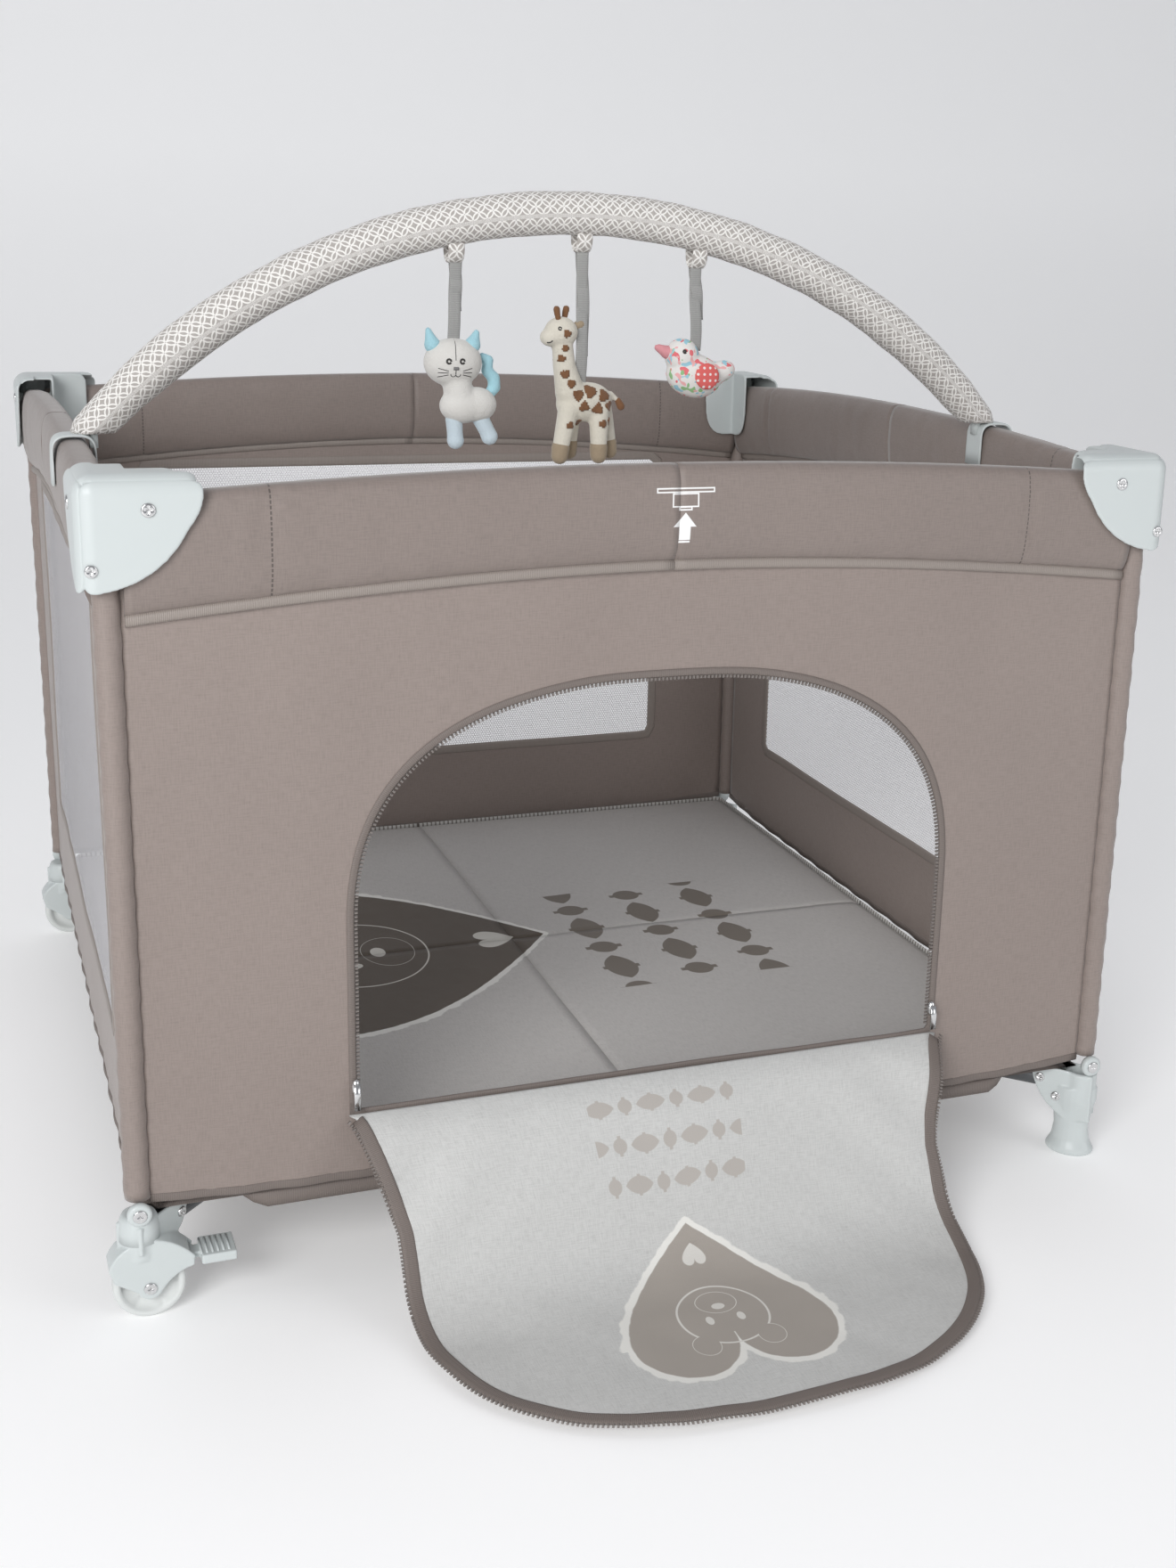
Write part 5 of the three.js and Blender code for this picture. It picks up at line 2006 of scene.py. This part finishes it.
    def long_neck(self) -> None:
        """Makes the spotted long-necked animal."""
        at = self.at
        body = self.soft("spotted_body", [
            egg("a", at(0.0105, 0.756), (0.029, 0.0165, 0.0195), Matrix.Rotation(-0.12, 3, "Y")),
            limb("b", [at(-0.004, 0.766), at(-0.0100, 0.790), at(-0.0125, 0.812)], (0.0150, 0.0115, 0.0105)),
            egg("c", at(-0.0140, 0.8235), (0.0170, 0.0145, 0.0150)), egg("d", at(-0.0250, 0.8185), (0.0105, 0.0108, 0.0090)),
            limb("e", [at(-0.0075, 0.748, -0.006), at(-0.0145, 0.716, -0.007)], (0.0105, 0.0085)),
            limb("f", [at(0.0005, 0.748, 0.007), at(-0.0005, 0.718, 0.010)], (0.0098, 0.0080)),
            limb("g", [at(0.0245, 0.748, -0.006), at(0.0245, 0.716, -0.007)], (0.0105, 0.0085)),
            limb("h", [at(0.0325, 0.750, 0.007), at(0.0400, 0.719, 0.010)], (0.0098, 0.0080)),
            limb("i", [at(0.0385, 0.764), at(0.0465, 0.757)], (0.0030, 0.0024)),
        ], CREAM_PLUSH, "giraffe", nodes=["toy_giraffe"])
        self.soft("spotted_hooves", [
            limb("j", [at(-0.0152, 0.712, -0.007), at(-0.0162, 0.7045, -0.007)], (0.0092, 0.0086)),
            limb("k", [at(-0.0006, 0.714, 0.010), at(-0.0008, 0.7065, 0.010)], (0.0086, 0.0080)),
            limb("l", [at(0.0245, 0.712, -0.007), at(0.0245, 0.7045, -0.007)], (0.0092, 0.0086)),
            limb("m", [at(0.0408, 0.714, 0.010), at(0.0418, 0.7065, 0.010)], (0.0086, 0.0080)),
        ], TAN_FELT, "giraffe", rounds=3)
        self.soft("spotted_horns", [
            limb("n", [at(-0.0185, 0.836, -0.005), at(-0.0205, 0.8455, -0.0055)], (0.0028, 0.0036)),
            limb("o", [at(-0.0095, 0.836, 0.004), at(-0.0075, 0.8455, 0.0045)], (0.0028, 0.0036)),
            limb("p", [at(0.0465, 0.757), at(0.0495, 0.7515)], (0.0036, 0.0044)),
        ], BROWN_FELT, "giraffe", rounds=2)
        self.soft("spotted_ears", [
            limb("q", [at(-0.0005, 0.8285, 0.000), at(0.0060, 0.8310, 0.002)], (0.0036, 0.0052)),
        ], TAN_FELT, "giraffe", rounds=3)
        self.spots(body)
        self.thread("spotted_face", "giraffe", [self.curl(-0.0190, 0.8275, 0.0014, 0, 330),
                                                self.curl(-0.0290, 0.8180, 0.0040, 250, 330)], body, 0.0007)

    def spots(self, on: bpy.types.Object) -> None:
        """Felt spots on the long-necked animal, cut from its own skin."""
        marks = ((0.000, 0.764, 0.0052), (0.0125, 0.767, 0.0058), (0.0270, 0.763, 0.0056), (0.0060, 0.753, 0.0048),
                 (0.0200, 0.751, 0.0052), (0.0330, 0.753, 0.0042), (-0.0125, 0.784, 0.0040), (-0.0070, 0.775, 0.0040),
                 (-0.0160, 0.799, 0.0036), (-0.0125, 0.809, 0.0032), (-0.0085, 0.735, 0.0034), (0.0255, 0.736, 0.0036),
                 (0.0030, 0.737, 0.0030), (0.0345, 0.738, 0.0032), (-0.0115, 0.823, 0.0036))
        mesh = on.data
        verts, faces, index = [], [], {}
        for face in mesh.polygons:
            place = face.center - LAYOUT.centre
            for k, (x, z, r) in enumerate(marks):
                wobble = 1 + 0.16 * math.sin(3 * math.atan2(place.z - z, place.x - x) + k)
                if math.hypot(place.x - x, place.z - z) < r * wobble:
                    loop = []
                    for v in face.vertices:
                        if v not in index:
                            index[v] = len(verts)
                            vert = mesh.vertices[v]
                            verts.append(vert.co - LAYOUT.centre + vert.normal * 0.0005)
                        loop.append(index[v])
                    faces.append(loop)
                    break
        patch = thicken(new_object("spotted_marks", verts, faces), 0.0006)
        dress(turn_and_place(patch), BROWN_FELT, "toy_giraffe", Squeeze.ALONG_X)

    def bird(self) -> None:
        """Makes the bird."""
        at = self.at
        self.soft("bird_body", [
            egg("a", at(0.1270, 0.7815), (0.0300, 0.0180, 0.0220), Matrix.Rotation(0.2, 3, "Y")),
            egg("b", at(0.1135, 0.8010), (0.0180, 0.0155, 0.0175)),
            limb("c", [at(0.148, 0.783), at(0.159, 0.7865), at(0.163, 0.7875)], (0.0125, 0.0105, 0.0085)),
        ], FLORAL, "bird", nodes=["toy_bird"])
        self.soft("bird_wing", [
            egg("d", at(0.1345, 0.7820, -0.0172), (0.0135, 0.0040, 0.0135), Matrix.Rotation(-0.35, 3, "Y")),
            egg("e", at(0.1345, 0.7820, 0.0172), (0.0135, 0.0040, 0.0135), Matrix.Rotation(-0.35, 3, "Y")),
        ], CORAL, "bird", rounds=4)
        self.soft("bird_beak", [
            limb("g", [at(0.0975, 0.8045), at(0.0890, 0.8085), at(0.0865, 0.8092)], (0.0068, 0.0042, 0.0030)),
        ], PINK_FELT, "bird", rounds=2)
        body = bpy.data.objects["bird_body"]
        self.thread("bird_eye", "bird", [self.curl(0.1110, 0.8060, 0.0013, 0, 330)], body, 0.0011)

    def build(self) -> None:
        """Makes the toys with their loops and straps."""
        Hanger("cat", -0.121, 0.812).build()
        Hanger("giraffe", 0.006, 0.770).build()
        Hanger("bird", 0.126, 0.806).build()
        self.cat()
        self.long_neck()
        self.bird()


# ---- Surroundings ------------------------------------------------------------------------------
@dataclass
class Studio:
    """Pale floor, soft lights and the camera."""

    place: tuple[float, float, float] = (-0.588, -1.957, 0.925)
    azimuth: float = 21.431
    pitch: float = 15.478
    roll: float = 1.612
    lens: float = 42.53
    shift: tuple[float, float] = (-0.0459, -0.0281)

    def floor(self) -> None:
        """Makes the floor."""
        reach, curve, deep = 9.0, 1.4, 4.2
        rows, cols = 30, 3

        def point(i: int, j: int) -> Vector:
            """Place of a point of the surface."""
            t = i / (rows - 1)
            x = (j - 1) * reach
            if t < 0.5:
                return Vector((x, -6 + (6 + deep) * t * 2, 0))
            turn = (t - 0.5) * math.pi
            return Vector((x, deep + curve * math.sin(turn), curve * (1 - math.cos(turn)) + 5 * max(0, t - 0.93) / 0.07))

        ground = grid("studio_floor", rows, cols, point)
        paper = Finish("pale paper", (0.93, 0.93, 0.93), (0.92, 0.92, 0.92), 0.9, moulded, glow=0.20)
        ground.data.materials.append(paper.material())

    def light(self, name: str, at: Vector, aim: Vector, size: float, power: float) -> None:
        """Adds a soft area light."""
        lamp = bpy.data.lights.new(name, "AREA")
        lamp.shape = "DISK"
        lamp.size = size
        lamp.energy = power
        holder = bpy.data.objects.new(name, lamp)
        holder.location = at
        holder.rotation_euler = (aim - at).to_track_quat("-Z", "Y").to_euler()
        bpy.context.scene.collection.objects.link(holder)

    def build(self) -> None:
        """Makes the surroundings."""
        self.floor()
        heart = LAYOUT.centre + Vector((0, 0, 0.4))
        self.light("key light", Vector((-2.6, -3.3, 2.1)), heart, 2.4, 130.0)
        self.light("fill light", Vector((2.6, -3.4, 1.7)), heart, 2.6, 31.0)
        self.light("top light", Vector((0.3, 0.8, 4.4)), heart, 3.5, 20.0)
        world = bpy.data.worlds.new("studio")
        world.use_nodes = True
        ground = world.node_tree.nodes["Background"]
        ground.inputs[0].default_value = (0.92, 0.94, 1.0, 1.0)
        ground.inputs[1].default_value = 0.32
        bpy.context.scene.world = world
        bpy.context.scene.view_settings.view_transform = "Standard"
        self.camera()

    def camera(self) -> None:
        """Places the camera."""
        lens = bpy.data.cameras.new("camera")
        lens.lens = self.lens
        lens.sensor_width = 36.0
        lens.sensor_fit = "AUTO"
        lens.shift_x, lens.shift_y = self.shift
        holder = bpy.data.objects.new("camera", lens)
        az, pitch, roll = (math.radians(v) for v in (self.azimuth, self.pitch, self.roll))
        ahead = Vector((math.sin(az) * math.cos(pitch), math.cos(az) * math.cos(pitch), -math.sin(pitch)))
        right = ahead.cross(UP).normalized()
        up = right.cross(ahead)
        turned_right = right * math.cos(roll) + up * math.sin(roll)
        turned_up = up * math.cos(roll) - right * math.sin(roll)
        axes = Matrix((turned_right, turned_up, -ahead)).transposed().to_4x4()
        holder.matrix_world = Matrix.Translation(LAYOUT.centre + Vector(self.place)) @ axes
        bpy.context.scene.collection.objects.link(holder)
        bpy.context.scene.camera = holder


def main() -> None:
    """Builds the looks around the frame."""
    logging.basicConfig(level=logging.INFO, format="%(message)s")
    Bands().build()
    Walls().build()
    Door().build()
    Floor().build()
    Posts().build()
    Hardware().build()
    Bow().build()
    Toys().build()
    Studio().build()


if __name__ == "__main__":
    main()
